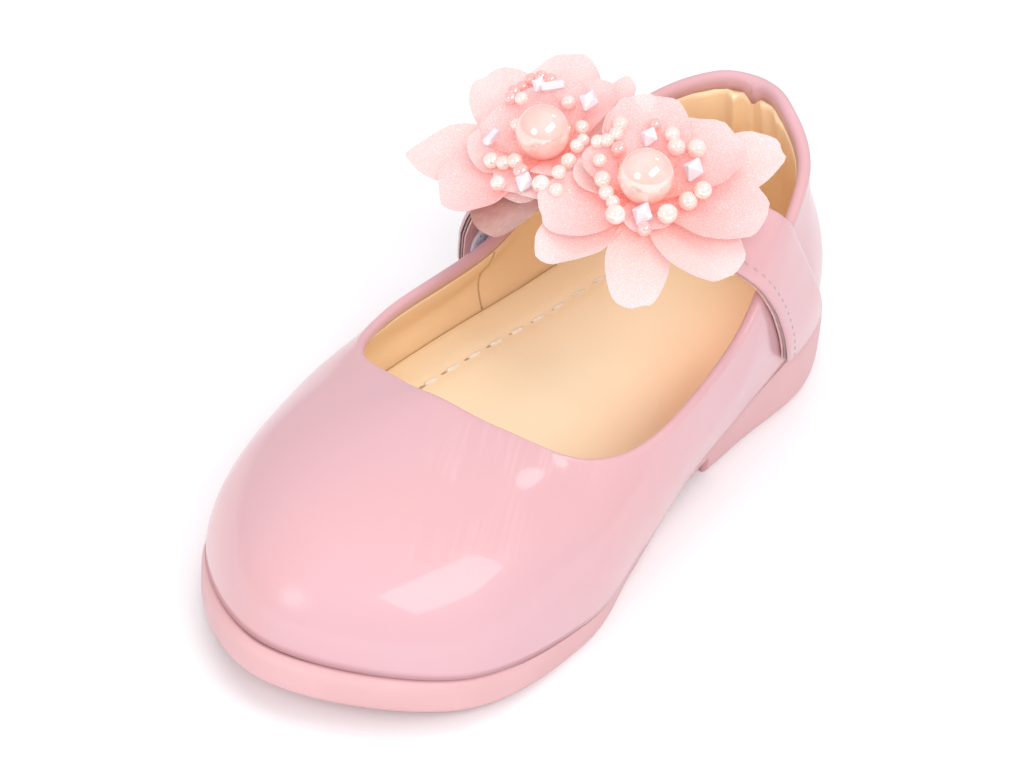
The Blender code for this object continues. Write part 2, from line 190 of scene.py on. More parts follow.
def fill_across(points, ring, columns, height):
    """Close a loop that starts at the heel with a grid; height(point, share, width) sets each inner z."""
    half = len(ring) // 2
    rows = [[ring[0]]]
    for k in range(1, half):
        lateral, medial = points[ring[k]], points[ring[-k]]
        width = (medial - lateral).length
        row = [ring[k]]
        for j in range(1, columns):
            point = lateral.lerp(medial, j / columns)
            point.z = height(point, j / columns, width)
            points.append(point)
            row.append(len(points) - 1)
        rows.append(row + [ring[-k]])
    rows.append([ring[half]])
    faces = []
    for row, ahead in zip(rows, rows[1:]):
        for j in range(columns):
            ways = ((row, j), (row, j + 1), (ahead, j + 1), (ahead, j))
            corners = [line[min(i, len(line) - 1)] for line, i in ways]
            face = list(dict.fromkeys(corners))
            if len(face) > 2:
                faces.append(face)
    return faces


def level(point, share, width):
    """A filled face without crown or relief."""
    return point.z


def linked(name, data):
    """A new object in the scene."""
    piece = bpy.data.objects.new(name, data)
    bpy.context.scene.collection.objects.link(piece)
    return piece


def add_mesh(name, points, faces, material):
    """A piece from its foot points, with its faces turned outwards."""
    mesh = bpy.data.meshes.new(name)
    mesh.from_pydata([placed(point) for point in points], [], faces)
    shape = bmesh.new()
    shape.from_mesh(mesh)
    bmesh.ops.recalc_face_normals(shape, faces=shape.faces)
    shape.to_mesh(mesh)
    shape.free()
    mesh.shade_smooth()
    mesh.materials.append(material)
    return linked(name, mesh)


def seat(piece, slot, *nodes):
    """The piece rides on the shoe and stands for the named solids; slot is not used."""
    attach(piece, "root")
    if nodes:
        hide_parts(*nodes)


def new_material(name, roughness, **sockets):
    """A Principled material with constants set on its shader; returns it, its node tree and its shader."""
    material = bpy.data.materials.new(name)
    material.use_nodes = True
    tree = material.node_tree
    shader = tree.nodes["Principled BSDF"]
    shader.inputs["Roughness"].default_value = roughness
    for socket, value in sockets.items():
        shader.inputs[socket.replace("_", " ").title().replace("Ior", "IOR")].default_value = value
    return material, tree, shader


def noise_node(tree, scale, stretch=(1.0, 1.0, 1.0), detail=2.0, turn=0.0):
    """Noise over the piece: scale per metre, stretch along its grain and the grain's turn in degrees."""
    coordinates = tree.nodes.new("ShaderNodeTexCoord")
    mapping = tree.nodes.new("ShaderNodeMapping")
    mapping.vector_type = "TEXTURE"
    mapping.inputs["Scale"].default_value = stretch
    mapping.inputs["Rotation"].default_value = (0.0, 0.0, math.radians(turn))
    texture = tree.nodes.new("ShaderNodeTexNoise")
    texture.inputs["Scale"].default_value = scale
    texture.inputs["Detail"].default_value = detail
    tree.links.new(coordinates.outputs["Object"], mapping.inputs["Vector"])
    tree.links.new(mapping.outputs["Vector"], texture.inputs["Vector"])
    return texture.outputs["Fac"]


def ramp_node(tree, value, *stops):
    """Colour ramp over a value, from stops of (place, colour)."""
    ramp = tree.nodes.new("ShaderNodeValToRGB")
    elements = ramp.color_ramp.elements
    while len(elements) < len(stops):
        elements.new(0.5)
    for element, (place, colour) in zip(elements, stops):
        element.position = place
        element.color = (*colour, 1.0)
    tree.links.new(value, ramp.inputs["Fac"])
    return ramp.outputs["Color"]


def bump_node(tree, shader, height, depth, strength=1.0, under=None):
    """Relief of a depth in millimetres on the shader's normal, over an earlier relief if one is given."""
    bump = tree.nodes.new("ShaderNodeBump")
    bump.inputs["Strength"].default_value = strength
    bump.inputs["Distance"].default_value = depth * MM
    tree.links.new(height, bump.inputs["Height"])
    if under is not None:
        tree.links.new(under, bump.inputs["Normal"])
    tree.links.new(bump.outputs["Normal"], shader.inputs["Normal"])
    return bump.outputs["Normal"]


def moulded_rubber():
    """Matt rubber with slow clouds of tone and a fine moulded grain."""
    material, tree, shader = new_material("moulded_pink_rubber", 0.46, specular_ior_level=0.4)
    cloud = noise_node(tree, 60.0)
    colour = ramp_node(tree, cloud, (0.35, (0.67, 0.39, 0.40)), (0.65, (0.71, 0.425, 0.435)))
    tree.links.new(colour, shader.inputs["Base Color"])
    bump_node(tree, shader, noise_node(tree, 2600.0, detail=3.0), 0.06, 0.35)
    return material


def tread_height(u):
    """Underside of the sole: flat heel, arch behind the ball, flat forefoot and toe spring."""
    if u < BREAST_U:
        return 0.0
    if u < ARCH_END:
        return ARCH_RISE * (1.0 - smooth_step((u - BREAST_U) / (ARCH_END - BREAST_U)))
    if u < SPRING_START:
        return 0.0
    return TOE_SPRING * ((u - SPRING_START) / (SPRING_END - SPRING_START)) ** SPRING_CURVE


def tread_relief(point, share, width):
    """The tread with shallow wavy ribs inside a plain border, under the heel and the forefoot."""
    border = smooth_step((min(share, 1.0 - share) * width - RIB_BORDER) / RIB_FADE)
    fields = 0.0
    for start, end in (HEEL_RIBS, FOREFOOT_RIBS):
        fields += smooth_step((point.y - start) / RIB_FADE) * smooth_step((end - point.y) / RIB_FADE)
    wave = point.y + RIB_WAVE * math.sin(math.tau * point.x / RIB_WAVE_LENGTH)
    rib = smooth_step(0.5 + RIB_STEEP * math.sin(math.tau * wave / RIB_PITCH))
    return tread_height(point.y) + RIB_DEPTH * rib * border * fields


breast = [station_at(BREAST_U + step * BREAST_RUN) for step in BREAST_STEPS]
sole_stations = loop_stations(SOLE_STATIONS, breast)
sole_points = []
for wall_row in range(WALL_ROWS):
    wall_step = blend(SOLE_WALL, (len(SOLE_WALL) - 1) * wall_row / (WALL_ROWS - 1))
    for side, t in sole_stations:
        edge_row = blend(FEATHER, t, FEATHER_MIRRORED)
        overhang = edge_row.sole_medial if side == MEDIAL else edge_row.sole_lateral
        stand_out = overhang * wall_step.share + wall_step.extra
        edge_point = feather_point(side, t) + outward(side, t) * stand_out
        low = tread_height(edge_row.u)
        edge_point.z = max(0.0, low + wall_step.height * (edge_row.z - SOLE_GAP - low))
        sole_points.append(swung(edge_point))
sole_count = len(sole_stations)
sole_faces = loft_faces(WALL_ROWS, sole_count)
sole_faces += fill_across(sole_points, list(range(sole_count)), SOLE_TOP_COLUMNS, level)
tread_ring = list(range((WALL_ROWS - 1) * sole_count, WALL_ROWS * sole_count))
sole_faces += fill_across(sole_points, tread_ring, SOLE_COLUMNS, tread_relief)
sole = add_mesh("sole_moulded", sole_points, sole_faces, moulded_rubber())
sole.data.set_sharp_from_angle(angle=math.radians(SOLE_SHARP))
seat(sole, "outsole", "outsole")

# Upper
# Pale pink patent sheet, glossy and faintly streaked along the vamp, lasted in one piece over the foot's
# form. Its top line is folded over a soft cord into a rolled edge, fuller round the collar, and a seam
# runs up the heel.
TopLine = namedtuple("TopLine", "place u half z")
TOP_LINE = (
    TopLine("collar_back", 10.5, 0.0, 44.8),
    TopLine("collar_corner", 13.4, 7.2, 44.4),
    TopLine("collar_side", 20.5, 15.5, 39.2),
    TopLine("quarter", 38.0, 20.8, 31.4),
    TopLine("strap_front", 51.0, 22.8, 24.0),
    TopLine("waist", 73.5, 24.4, 22.4),
    TopLine("throat_corner", 86.3, 19.7, 23.9),
    TopLine("throat", 91.7, 8.4, 27.0),
    TopLine("throat_middle", 93.3, 0.0, 28.7),
)
TOP_MIRRORED = ("half",)
Section = namedtuple("Section", "place rise lean fall over")
SECTION = (
    Section("heel_back", 14.0, 1.2, 12.0, 1.2),
    Section("heel_corner", 14.0, 1.1, 12.0, 1.2),
    Section("heel_side", 12.0, 1.0, 11.0, 1.1),
    Section("quarter", 10.0, 2.1, 9.0, 1.3),
    Section("waist", 9.0, 2.5, 8.0, 1.2),
    Section("joint", 9.5, 1.5, 6.4, 2.4),
    Section("ball", 11.8, 0.8, 3.8, 6.3),
    Section("toe_corner", 13.4, -0.3, 2.1, 13.6),
    Section("toe_tip", 14.5, -0.2, 1.1, 19.7),
)
UPPER_STATIONS = 130
SEAM_STATIONS = (0.012, 0.024, 0.036, 0.05)
UPPER_ROWS = 44
WALL = 1.8
PATENT_THICK = 0.8
ROLL_ARC = 10
ROLL_HALF = 0.9
COLLAR_HALF = 1.1
COLLAR_STATIONS = (1.4, 3.2)
ROLL_HEIGHT = 1.0
ROLL_LIP = 1.3
SWELL_REACH = 2.2
ROWS_TO_FOOT = 0.9
HEEL_SEAM_WIDTH = 0.45
HEEL_SEAM_DEPTH = 0.32
HEEL_TUCK_WIDTH = 1.5
HEEL_TUCK = 0.45
STREAK_TURN = 24.0
STREAK_MIDDLE = 15.0
STREAK_HALF = 9.0
STREAK_FROM_U = 78.0
STREAK_TO_U = 120.0
STREAK_FADE = 14.0
STREAK_SHARE = 0.28
HEEL_END = 1.0
CREASE_ENDS = 0.25
# Soft troughs, and ridges where the depth is negative, between two stations and heights of the upper
Crease = namedtuple("Crease", "side from_t from_v to_t to_v width depth")
CREASES = (
    Crease(LATERAL, 5.0, 0.60, 5.8, 0.25, 4.0, 0.14),
    Crease(MEDIAL, 5.1, 0.66, 5.9, 0.25, 4.2, 0.16),
    Crease(MEDIAL, 4.5, 0.80, 4.1, 0.30, 6.0, 0.10),
    Crease(LATERAL, 4.4, 0.75, 3.9, 0.30, 6.0, 0.26),
    Crease(MEDIAL, 3.2, 0.25, 3.8, 0.55, 4.5, -0.14),
    Crease(LATERAL, 2.2, 0.30, 1.2, 0.55, 4.5, 0.16),
)


def section_pulls(side, t):
    """Four points that shape the upper at a station, from the feather line to the top line."""
    top = blend(TOP_LINE, t, TOP_MIRRORED)
    section = blend(SECTION, t)
    out = outward(side, t)
    low = feather_point(side, t)
    high = Vector((side * top.half, top.u, top.z))
    low_pull = low + out * section.lean + Vector((0, 0, section.rise))
    high_pull = high + out * section.over - Vector((0, 0, section.fall))
    return low, low_pull, high_pull, high


def upper_point(side, t, v):
    """Outer face of the upper: t runs from heel to toe, v from the feather line to the top line."""
    low, low_pull, high_pull, high = section_pulls(side, t)
    w = 1.0 - v
    return swung(low * w ** 3 + low_pull * 3 * v * w * w + high_pull * 3 * v * v * w + high * v ** 3)


def unit(vectors):
    """The vectors at length 1."""
    return vectors / np.linalg.norm(vectors, axis=-1, keepdims=True)


def swing_all(points):
    """All points moved sideways with the foot's curve."""
    share = np.clip((points[..., 1] - SWING_START) / (SWING_END - SWING_START), 0.0, 1.0)
    moved = points.copy()
    moved[..., 0] += TOE_SWING * share * share * (3.0 - 2.0 * share)
    return moved


def upper_sheet(pulls, v):
    """Points and outward normals of the upper's outer face; v has one row of heights for each station."""
    w = 1.0 - v
    weights = np.stack([w ** 3, 3 * v * w * w, 3 * v * v * w, v ** 3], axis=-1)
    slopes = np.stack([-3 * w * w, 3 * w * w - 6 * v * w, 6 * v * w - 3 * v * v, 3 * v * v], axis=-1)
    points = swing_all(np.einsum("krp,kpc->krc", weights, pulls))
    rise = np.einsum("krp,kpc->krc", slopes, pulls)
    along = np.roll(points, -1, axis=0) - np.roll(points, 1, axis=0)
    return points, unit(np.cross(rise, along)), unit(rise)


def crease_depth(points):
    """How deep the listed creases lie at each point."""
    depth = np.zeros(points.shape[:-1])
    for crease in CREASES:
        start = np.array(upper_point(crease.side, crease.from_t, crease.from_v))
        run = np.array(upper_point(crease.side, crease.to_t, crease.to_v)) - start
        share = np.clip(((points - start) @ run) / (run @ run), 0.0, 1.0)
        away = np.linalg.norm(points - start - share[..., None] * run, axis=-1)
        fade = CREASE_ENDS + (1.0 - CREASE_ENDS) * np.sin(np.pi * share)
        depth += crease.depth * np.exp(-((away / crease.width) ** 2)) * fade
    return depth


def set_attribute(piece, name, values):
    """A number on each point of the piece, for its material."""
    attribute = piece.data.attributes.new(name, "FLOAT", "POINT")
    attribute.data.foreach_set("value", np.asarray(values, dtype=np.float32).ravel())


def attribute_node(tree, name):
    """The piece's own number at each point."""
    node = tree.nodes.new("ShaderNodeAttribute")
    node.attribute_name = name
    return node.outputs["Fac"]


def mix_node(tree, factor, first, second):
    """Colour mixed from two links or colours by a factor."""
    mix = tree.nodes.new("ShaderNodeMix")
    mix.data_type = "RGBA"
    for socket, value in ((mix.inputs["Factor"], factor), (mix.inputs[6], first), (mix.inputs[7], second)):
        if isinstance(value, bpy.types.NodeSocket):
            tree.links.new(value, socket)
        else:
            socket.default_value = (*value, 1.0)
    return mix.outputs[2]


def mask_node(tree, value, low, high):
    """Black-to-white mask between two values."""
    return ramp_node(tree, value, (low, (0.0, 0.0, 0.0)), (high, (1.0, 1.0, 1.0)))


def times_node(tree, first, second):
    """A link times another link or a number."""
    node = tree.nodes.new("ShaderNodeMath")
    node.operation = "MULTIPLY"
    tree.links.new(first, node.inputs[0])
    if isinstance(second, float):
        node.inputs[1].default_value = second
    else:
        tree.links.new(second, node.inputs[1])
    return node.outputs["Value"]


def pink_patent():
    """Glossy coated sheet: pink with a lavender cast in clouds, and fine pale streaks along the vamp."""
    material, tree, shader = new_material(
        "pink_patent", 0.3, coat_weight=0.5, coat_roughness=0.06, specular_ior_level=0.2
    )
    cloud = noise_node(tree, 26.0, stretch=(1.0, 2.2, 1.0))
    body = ramp_node(
        tree, cloud,
        (0.3, (0.66, 0.395, 0.44)),
        (0.52, (0.685, 0.395, 0.41)),
        (0.75, (0.66, 0.41, 0.47)),
    )
    streak = noise_node(tree, 1300.0, stretch=(1.0, 26.0, 14.0), detail=3.0, turn=STREAK_TURN)
    pale = mask_node(tree, streak, 0.45, 0.75)
    patches = mask_node(tree, noise_node(tree, 90.0, detail=1.0), 0.42, 0.62)
    zone = times_node(tree, patches, attribute_node(tree, "vamp"))
    share = times_node(tree, times_node(tree, pale, zone), STREAK_SHARE)
    tree.links.new(mix_node(tree, share, body, (0.90, 0.68, 0.74)), shader.inputs["Base Color"])
    slow = bump_node(tree, shader, noise_node(tree, 85.0, detail=1.0), 0.25, 0.10)
    bump_node(tree, shader, times_node(tree, streak, zone), 0.05, 0.35, under=slow)
    return material


patent = pink_patent()
upper_stations = loop_stations(UPPER_STATIONS, SEAM_STATIONS)
pulls = np.array([[list(point) for point in section_pulls(side, t)] for side, t in upper_stations])
station_t = np.array([t for _, t in upper_stations])
top_speed = 3.0 * np.linalg.norm(pulls[:, 3] - pulls[:, 2], axis=-1)
collar_run = COLLAR_STATIONS[1] - COLLAR_STATIONS[0]
collar_share = np.array([1.0 - smooth_step((t - COLLAR_STATIONS[0]) / collar_run) for t in station_t])
heel_tuck = HEEL_TUCK * np.exp(-((pulls[:, 3, 0] / HEEL_TUCK_WIDTH) ** 2)) * (station_t < HEEL_END)
roll_half = ROLL_HALF + (COLLAR_HALF - ROLL_HALF) * collar_share + heel_tuck
roll_start = 1.0 - ROLL_HEIGHT * roll_half / ROLL_HALF / top_speed
lip_end = roll_start - ROLL_LIP * roll_half / ROLL_HALF / top_speed
upper_v = roll_start[:, None] * (np.linspace(0.0, 1.0, UPPER_ROWS) ** ROWS_TO_FOOT)[None, :]
outer, outer_normal, outer_rise = upper_sheet(pulls, upper_v)
below_roll = (roll_start[:, None] - upper_v) * top_speed[:, None]
near_roll = np.clip(1.0 - below_roll / (SWELL_REACH * roll_half[:, None]), 0.0, 1.0)
swell = near_roll ** 2 * (roll_half - ROLL_HALF)[:, None]
seam = HEEL_SEAM_DEPTH * np.exp(-((outer[..., 0] / HEEL_SEAM_WIDTH) ** 2)) * (station_t < HEEL_END)[:, None]
patent_outer = outer + outer_normal * (swell - crease_depth(outer) - seam)[..., None]
arc_centre = outer[:, -1] - outer_normal[:, -1] * ROLL_HALF
roll_rows = []
for step in range(1, ROLL_ARC + 1):
    turn = math.pi * step / ROLL_ARC
    roll_rows.append(arc_centre + outer_normal[:, -1] * (roll_half * math.cos(turn))[:, None]
                     + outer_rise[:, -1] * (ROLL_HEIGHT * roll_half / ROLL_HALF * math.sin(turn))[:, None])
lip_points, lip_normal, _ = upper_sheet(pulls, lip_end[:, None])
lip_rows = [lip_points[:, 0] - lip_normal[:, 0] * (ROLL_HALF + roll_half)[:, None]]
lip_rows.append(lip_points[:, 0] - lip_normal[:, 0] * PATENT_THICK)
back_v = lip_end[:, None] * np.linspace(1.0, 0.0, UPPER_ROWS // 2)[None, 1:]
back_points, back_normal, _ = upper_sheet(pulls, back_v)
back = back_points - back_normal * PATENT_THICK
patent_rings = np.concatenate([patent_outer, np.stack(roll_rows + lip_rows, axis=1), back], axis=1)
ring_size = patent_rings.shape[1]
upper_faces = loft_faces(len(upper_stations), ring_size, closed_rings=True)
upper_patent = add_mesh("upper_patent", patent_rings.reshape(-1, 3), upper_faces, patent)
vamp = np.clip((patent_rings[..., 1] - STREAK_FROM_U) / STREAK_FADE, 0.0, 1.0)
vamp *= np.clip((STREAK_TO_U - patent_rings[..., 1]) / STREAK_FADE, 0.0, 1.0)
vamp *= np.exp(-(((patent_rings[..., 0] - STREAK_MIDDLE) / STREAK_HALF) ** 2))
set_attribute(upper_patent, "vamp", vamp)
seat(upper_patent, "upper", "upper")

# Lining
# Cream leatherette glued inside the upper, its top edge turned in below the rolled edge.
# It gathers into a few pleats round the back of the heel, and a narrow tan welt closes its lateral seam.
LINING_ROWS = 40
LINING_THICK = 0.7
LINING_PROUD = 0.15
Pleat = namedtuple("Pleat", "x width depth")
PLEATS = (
    Pleat(-8.5, 1.6, 0.5),
    Pleat(-3.7, 1.0, 2.0),
    Pleat(0.2, 0.7, -0.4),
    Pleat(3.4, 1.2, 1.0),
    Pleat(7.4, 1.2, 0.5),
)
PLEAT_BACK_U = 24.0
PLEAT_BLEND = 6.0
PLEAT_FADE = 1.2
LINING_EDGE_RISE = 0.25
SeamEnd = namedtuple("SeamEnd", "u z")
LINING_SEAM_TOP = SeamEnd(50.0, 22.3)
LINING_SEAM_FOOT = SeamEnd(48.2, 8.8)
LINING_SEAM_ROWS = 24
LINING_SEAM_SIDES = 8
LINING_SEAM_HALF = 0.17
LINING_SEAM_PROUD = 0.14
QUARTER_MIDDLE = (3.0, 0.5)
CLOSING_STEPS = 12


def cream_leatherette(name, light, shade, painted_shade_tone=None):
    """Satin coated lining with slow clouds and a fine pebbled grain, and an optional deeper tone mixed in
    as painted shade.
    """
    material, tree, shader = new_material(
        name, 0.4, specular_ior_level=0.45, coat_weight=0.15, coat_roughness=0.25
    )
    cloud = noise_node(tree, 45.0, detail=3.0)
    cream = ramp_node(tree, cloud, (0.3, shade), (0.7, light))
    # The optional deeper tone is painted shade, mixed in by the piece's painted-shade attribute
    if painted_shade_tone:
        cream = mix_node(tree, attribute_node(tree, "painted_shade"), cream, painted_shade_tone)
    tree.links.new(cream, shader.inputs["Base Color"])
    grain = tree.nodes.new("ShaderNodeTexVoronoi")
    grain.inputs["Scale"].default_value = 1900.0
    coordinates = tree.nodes.new("ShaderNodeTexCoord")
    tree.links.new(coordinates.outputs["Object"], grain.inputs["Vector"])
    slow = bump_node(tree, shader, noise_node(tree, 160.0), 0.3, 0.12)
    bump_node(tree, shader, grain.outputs["Distance"], 0.05, 0.25, under=slow)
    return material


def on_quarter(side, u, z, stand_off):
    """Point that stands off the upper's outer face where that face has the given u and z."""
    t, v = QUARTER_MIDDLE
    step = 0.01
    for _ in range(CLOSING_STEPS):
        here = upper_point(side, t, v)
        by_t = (upper_point(side, t + step, v) - here) / step
        by_v = (upper_point(side, t, v + step) - here) / step
        determinant = by_t.y * by_v.z - by_v.y * by_t.z
        du, dz = u - here.y, z - here.z
        t += (du * by_v.z - dz * by_v.y) / determinant
        v += (dz * by_t.y - du * by_t.z) / determinant
    along = upper_point(side, t + step, v) - upper_point(side, t - step, v)
    rise = upper_point(side, t, v + step) - upper_point(side, t, v - step)
    return upper_point(side, t, v) + (along.cross(rise) * side).normalized() * stand_off


def capped_loft(rings, count):
    """Quads between rings of count points, with a face over the first ring and the last."""
    last = (rings - 1) * count
    return loft_faces(rings, count) + [tuple(range(count)), tuple(range(last, last + count))]


def lining_seam_points():
    """Rings of the narrow welt that stands up the lateral wall where two sheets of the lining meet."""
    points = []
    for k in range(LINING_SEAM_ROWS + 1):
        share = k / LINING_SEAM_ROWS
        u = LINING_SEAM_FOOT.u + (LINING_SEAM_TOP.u - LINING_SEAM_FOOT.u) * share
        z = LINING_SEAM_FOOT.z + (LINING_SEAM_TOP.z - LINING_SEAM_FOOT.z) * share
        inner = on_quarter(LATERAL, u, z, -(WALL + LINING_PROUD))
        inward = (inner - on_quarter(LATERAL, u, z, 0.0)).normalized()
        aside = inward.cross(Vector((0.0, 0.0, 1.0))).normalized()
        for j in range(LINING_SEAM_SIDES):
            turn = math.tau * j / LINING_SEAM_SIDES
            across_welt = aside * (LINING_SEAM_HALF * math.cos(turn))
            points.append(inner + across_welt + inward * (LINING_SEAM_PROUD * math.sin(turn)))
    return points


lining_finish = cream_leatherette("cream_lining", (0.98, 0.74, 0.46), (0.97, 0.69, 0.42))
lining_down = np.linspace(1.0, 0.0, LINING_ROWS)[None, :]
lining_points, lining_normal, _ = upper_sheet(pulls, lip_end[:, None] * lining_down)
inner_face = WALL + LINING_PROUD + (roll_half - ROLL_HALF)[:, None] * lining_down ** 0.5
folds = np.zeros(lining_points.shape[:-1])
near_heel = np.clip((PLEAT_BACK_U - lining_points[..., 1]) / PLEAT_BLEND, 0.0, 1.0)
for pleat in PLEATS:
    folds += pleat.depth * np.exp(-(((lining_points[..., 0] - pleat.x) / pleat.width) ** 2))
folds *= near_heel * lining_down ** PLEAT_FADE
lining_inner = lining_points - lining_normal * (inner_face + folds)[..., None]
lining_edge = lining_inner[:, :1] + lining_normal[:, :1] * (LINING_THICK / 2)
lining_edge[..., 2] += LINING_EDGE_RISE
lining_back = (lining_points - lining_normal * (inner_face - LINING_THICK)[..., None])[:, ::-1]
lining_rings = np.concatenate([lining_edge, lining_inner, lining_back], axis=1)
lining_faces = loft_faces(len(upper_stations), lining_rings.shape[1], closed_rings=True)
lining = add_mesh("upper_lining", lining_rings.reshape(-1, 3), lining_faces, lining_finish)
seat(lining, "insole")
seam_faces = capped_loft(LINING_SEAM_ROWS + 1, LINING_SEAM_SIDES)
seam_finish = cream_leatherette("tan_welt", (0.68, 0.43, 0.24), (0.60, 0.36, 0.19))
seat(add_mesh("lining_seam", lining_seam_points(), seam_faces, seam_finish), "insole")

# Insole
# A board covered in the same cream leatherette, slightly crowned, glued to the sole inside the lining.
# A seam of pale thread with open needle holes runs along its lateral side, sewn before the board goes in;
# the holes are sunk dashes in a shaded copy of the thread colour, painted shade.
INSOLE_STATIONS = 90
INSOLE_COLUMNS = 44
INSOLE_UNDER_COLUMNS = 4
INSOLE_LIFT = 0.1
INSOLE_INSET = 2.2
INSOLE_THICK = 1.6
INSOLE_CROWN = 0.45
INSOLE_EDGE = (0.0, 0.55, 0.85, 1.0)
INSOLE_EDGE_IN = (0.0, 0.0, 0.18, 0.6)
SEAM_FROM = (-21.2, 82.0)
SEAM_TO = (-10.8, 23.0)
SEAM_GROOVE = 0.35
SEAM_GROOVE_WIDTH = 0.9
# Where the painted shade deepens the insole cover: towards the medial side and behind the waist
PAINTED_SHADE_FROM_X = -2.0
PAINTED_SHADE_OVER_X = 18.0
PAINTED_SHADE_FROM_U = 70.0
PAINTED_SHADE_OVER_U = 30.0
PAINTED_SHADE_SIDE = 0.45
PAINTED_SHADE_BEHIND = 0.25
SEAM_STEPS = 60
STITCH_PITCH = 4.6
STITCH_LENGTH = 3.2
THREAD = 0.8
THREAD_SHADE = 0.88
HOLE_LENGTH = 1.7
HOLE_WIDTH = 0.55
HOLE_SINK = 0.12


def seam_distance(point):
    """Distance of a point from the insole's seam, seen from above."""
    run_x, run_u = SEAM_TO[0] - SEAM_FROM[0], SEAM_TO[1] - SEAM_FROM[1]
    from_x, from_u = point.x - SEAM_FROM[0], point.y - SEAM_FROM[1]
    share = (from_x * run_x + from_u * run_u) / (run_x ** 2 + run_u ** 2)
    share = max(0.0, min(1.0, share))
    return math.hypot(from_x - share * run_x, from_u - share * run_u)


def insole_height(point, share, width):
    """Top of the insole: crowned across its width, pressed down along the seam."""
    crown = INSOLE_CROWN * (1.0 - (2.0 * share - 1.0) ** 4)
    return point.z + crown - SEAM_GROOVE * math.exp(-(seam_distance(point) / SEAM_GROOVE_WIDTH) ** 2)


def join(tree, *links):
    """Several links of a node tree, each from an output to an input."""
    for start, end in links:
        tree.links.new(start, end)


def piece_group(name, *sizes):
    """A node group that sets dressed pieces on a carrier; returns it, its inputs and its setter's."""
    tree = bpy.data.node_groups.new(name, "GeometryNodeTree")
    tree.interface.new_socket("Carrier", in_out="INPUT", socket_type="NodeSocketGeometry")
    for size in sizes:
        tree.interface.new_socket(size, in_out="INPUT", socket_type="NodeSocketFloat")
    tree.interface.new_socket("Finish", in_out="INPUT", socket_type="NodeSocketMaterial")
    tree.interface.new_socket("Pieces", in_out="OUTPUT", socket_type="NodeSocketGeometry")
    given = tree.nodes.new("NodeGroupInput").outputs
    place = tree.nodes.new("GeometryNodeInstanceOnPoints")
    realize = tree.nodes.new("GeometryNodeRealizeInstances")
    smooth = tree.nodes.new("GeometryNodeSetShadeSmooth")
    dress = tree.nodes.new("GeometryNodeSetMaterial")
    made = tree.nodes.new("NodeGroupOutput").inputs
    join(
        tree,
        (place.outputs["Instances"], realize.inputs["Geometry"]),
        (realize.outputs["Geometry"], smooth.inputs["Geometry"]),
        (smooth.outputs["Geometry"], dress.inputs["Geometry"]),
        (given["Finish"], dress.inputs["Material"]),
        (dress.outputs["Geometry"], made["Pieces"]),
    )
    return tree, given, place.inputs


def sewing_tree():
    """Stitches along a line whose points carry the way out: pitch, length and thread are inputs."""
    tree, given, setter = piece_group("sewn_stitches", "Pitch", "Stitch Length", "Thread")
    curve = tree.nodes.new("GeometryNodeMeshToCurve")
    resample = tree.nodes.new("GeometryNodeResampleCurve")
    resample.mode = "LENGTH"
    stitch = tree.nodes.new("GeometryNodeMeshUVSphere")
    stitch.inputs["Segments"].default_value = 8
    stitch.inputs["Rings"].default_value = 6
    stitch.inputs["Radius"].default_value = 0.5
    way_out = tree.nodes.new("GeometryNodeInputNamedAttribute")
    way_out.data_type = "FLOAT_VECTOR"
    way_out.inputs["Name"].default_value = "out"
    tangent = tree.nodes.new("GeometryNodeInputTangent")
    upright = tree.nodes.new("FunctionNodeAlignRotationToVector")
    upright.axis = "Z"
    lengthwise = tree.nodes.new("FunctionNodeAlignRotationToVector")
    lengthwise.axis = "X"
    lengthwise.pivot_axis = "Z"
    sizes = tree.nodes.new("ShaderNodeCombineXYZ")
    join(
        tree,
        (given["Carrier"], curve.inputs["Mesh"]),
        (curve.outputs["Curve"], resample.inputs["Curve"]),
        (given["Pitch"], resample.inputs["Length"]),
        (resample.outputs["Curve"], setter["Points"]),
        (stitch.outputs["Mesh"], setter["Instance"]),
        (way_out.outputs["Attribute"], upright.inputs["Vector"]),
        (upright.outputs["Rotation"], lengthwise.inputs["Rotation"]),
        (tangent.outputs["Tangent"], lengthwise.inputs["Vector"]),
        (lengthwise.outputs["Rotation"], setter["Rotation"]),
        (given["Stitch Length"], sizes.inputs["X"]),
        (given["Thread"], sizes.inputs["Y"]),
        (given["Thread"], sizes.inputs["Z"]),
        (sizes.outputs["Vector"], setter["Scale"]),
    )
    return tree


def grown(name, carrier, tree, **sizes):
    """Run a node tree on a carrier mesh and keep the result as a plain mesh piece."""
    modifier = carrier.modifiers.new(tree.name, "NODES")
    modifier.node_group = tree
    for item in tree.interface.items_tree:
        key = item.name.lower().replace(" ", "_")
        if item.in_out == "INPUT" and key in sizes:
            modifier[item.identifier] = sizes[key]
    bpy.context.view_layer.update()
    evaluated = carrier.evaluated_get(bpy.context.evaluated_depsgraph_get())
    mesh = bpy.data.meshes.new_from_object(evaluated)
    bpy.data.objects.remove(carrier)
    mesh.name = name
    return linked(name, mesh)


def line_carrier(name, line):
    """Mesh of one open line of (point, way out) pairs, for stitches."""
    out = [(way[0], -way[1], way[2]) for _, way in line]
    mesh = bpy.data.meshes.new(name)
    edges = [(i, i + 1) for i in range(len(line) - 1)]
    mesh.from_pydata([placed(point) for point, _ in line], edges, [])
    attribute = mesh.attributes.new("out", "FLOAT_VECTOR", "POINT")
    attribute.data.foreach_set("vector", np.array(out, dtype=np.float32).ravel())
    return linked(name, mesh)


def sewn(name, line, pitch, length, width, finish):
    """A row of stitches along a line, as one piece."""
    carrier = line_carrier(f"{name}_line", line)
    sizes = {"pitch": pitch * MM, "stitch_length": length * MM, "thread": width * MM}
    return grown(name, carrier, sewing, finish=finish, **sizes)


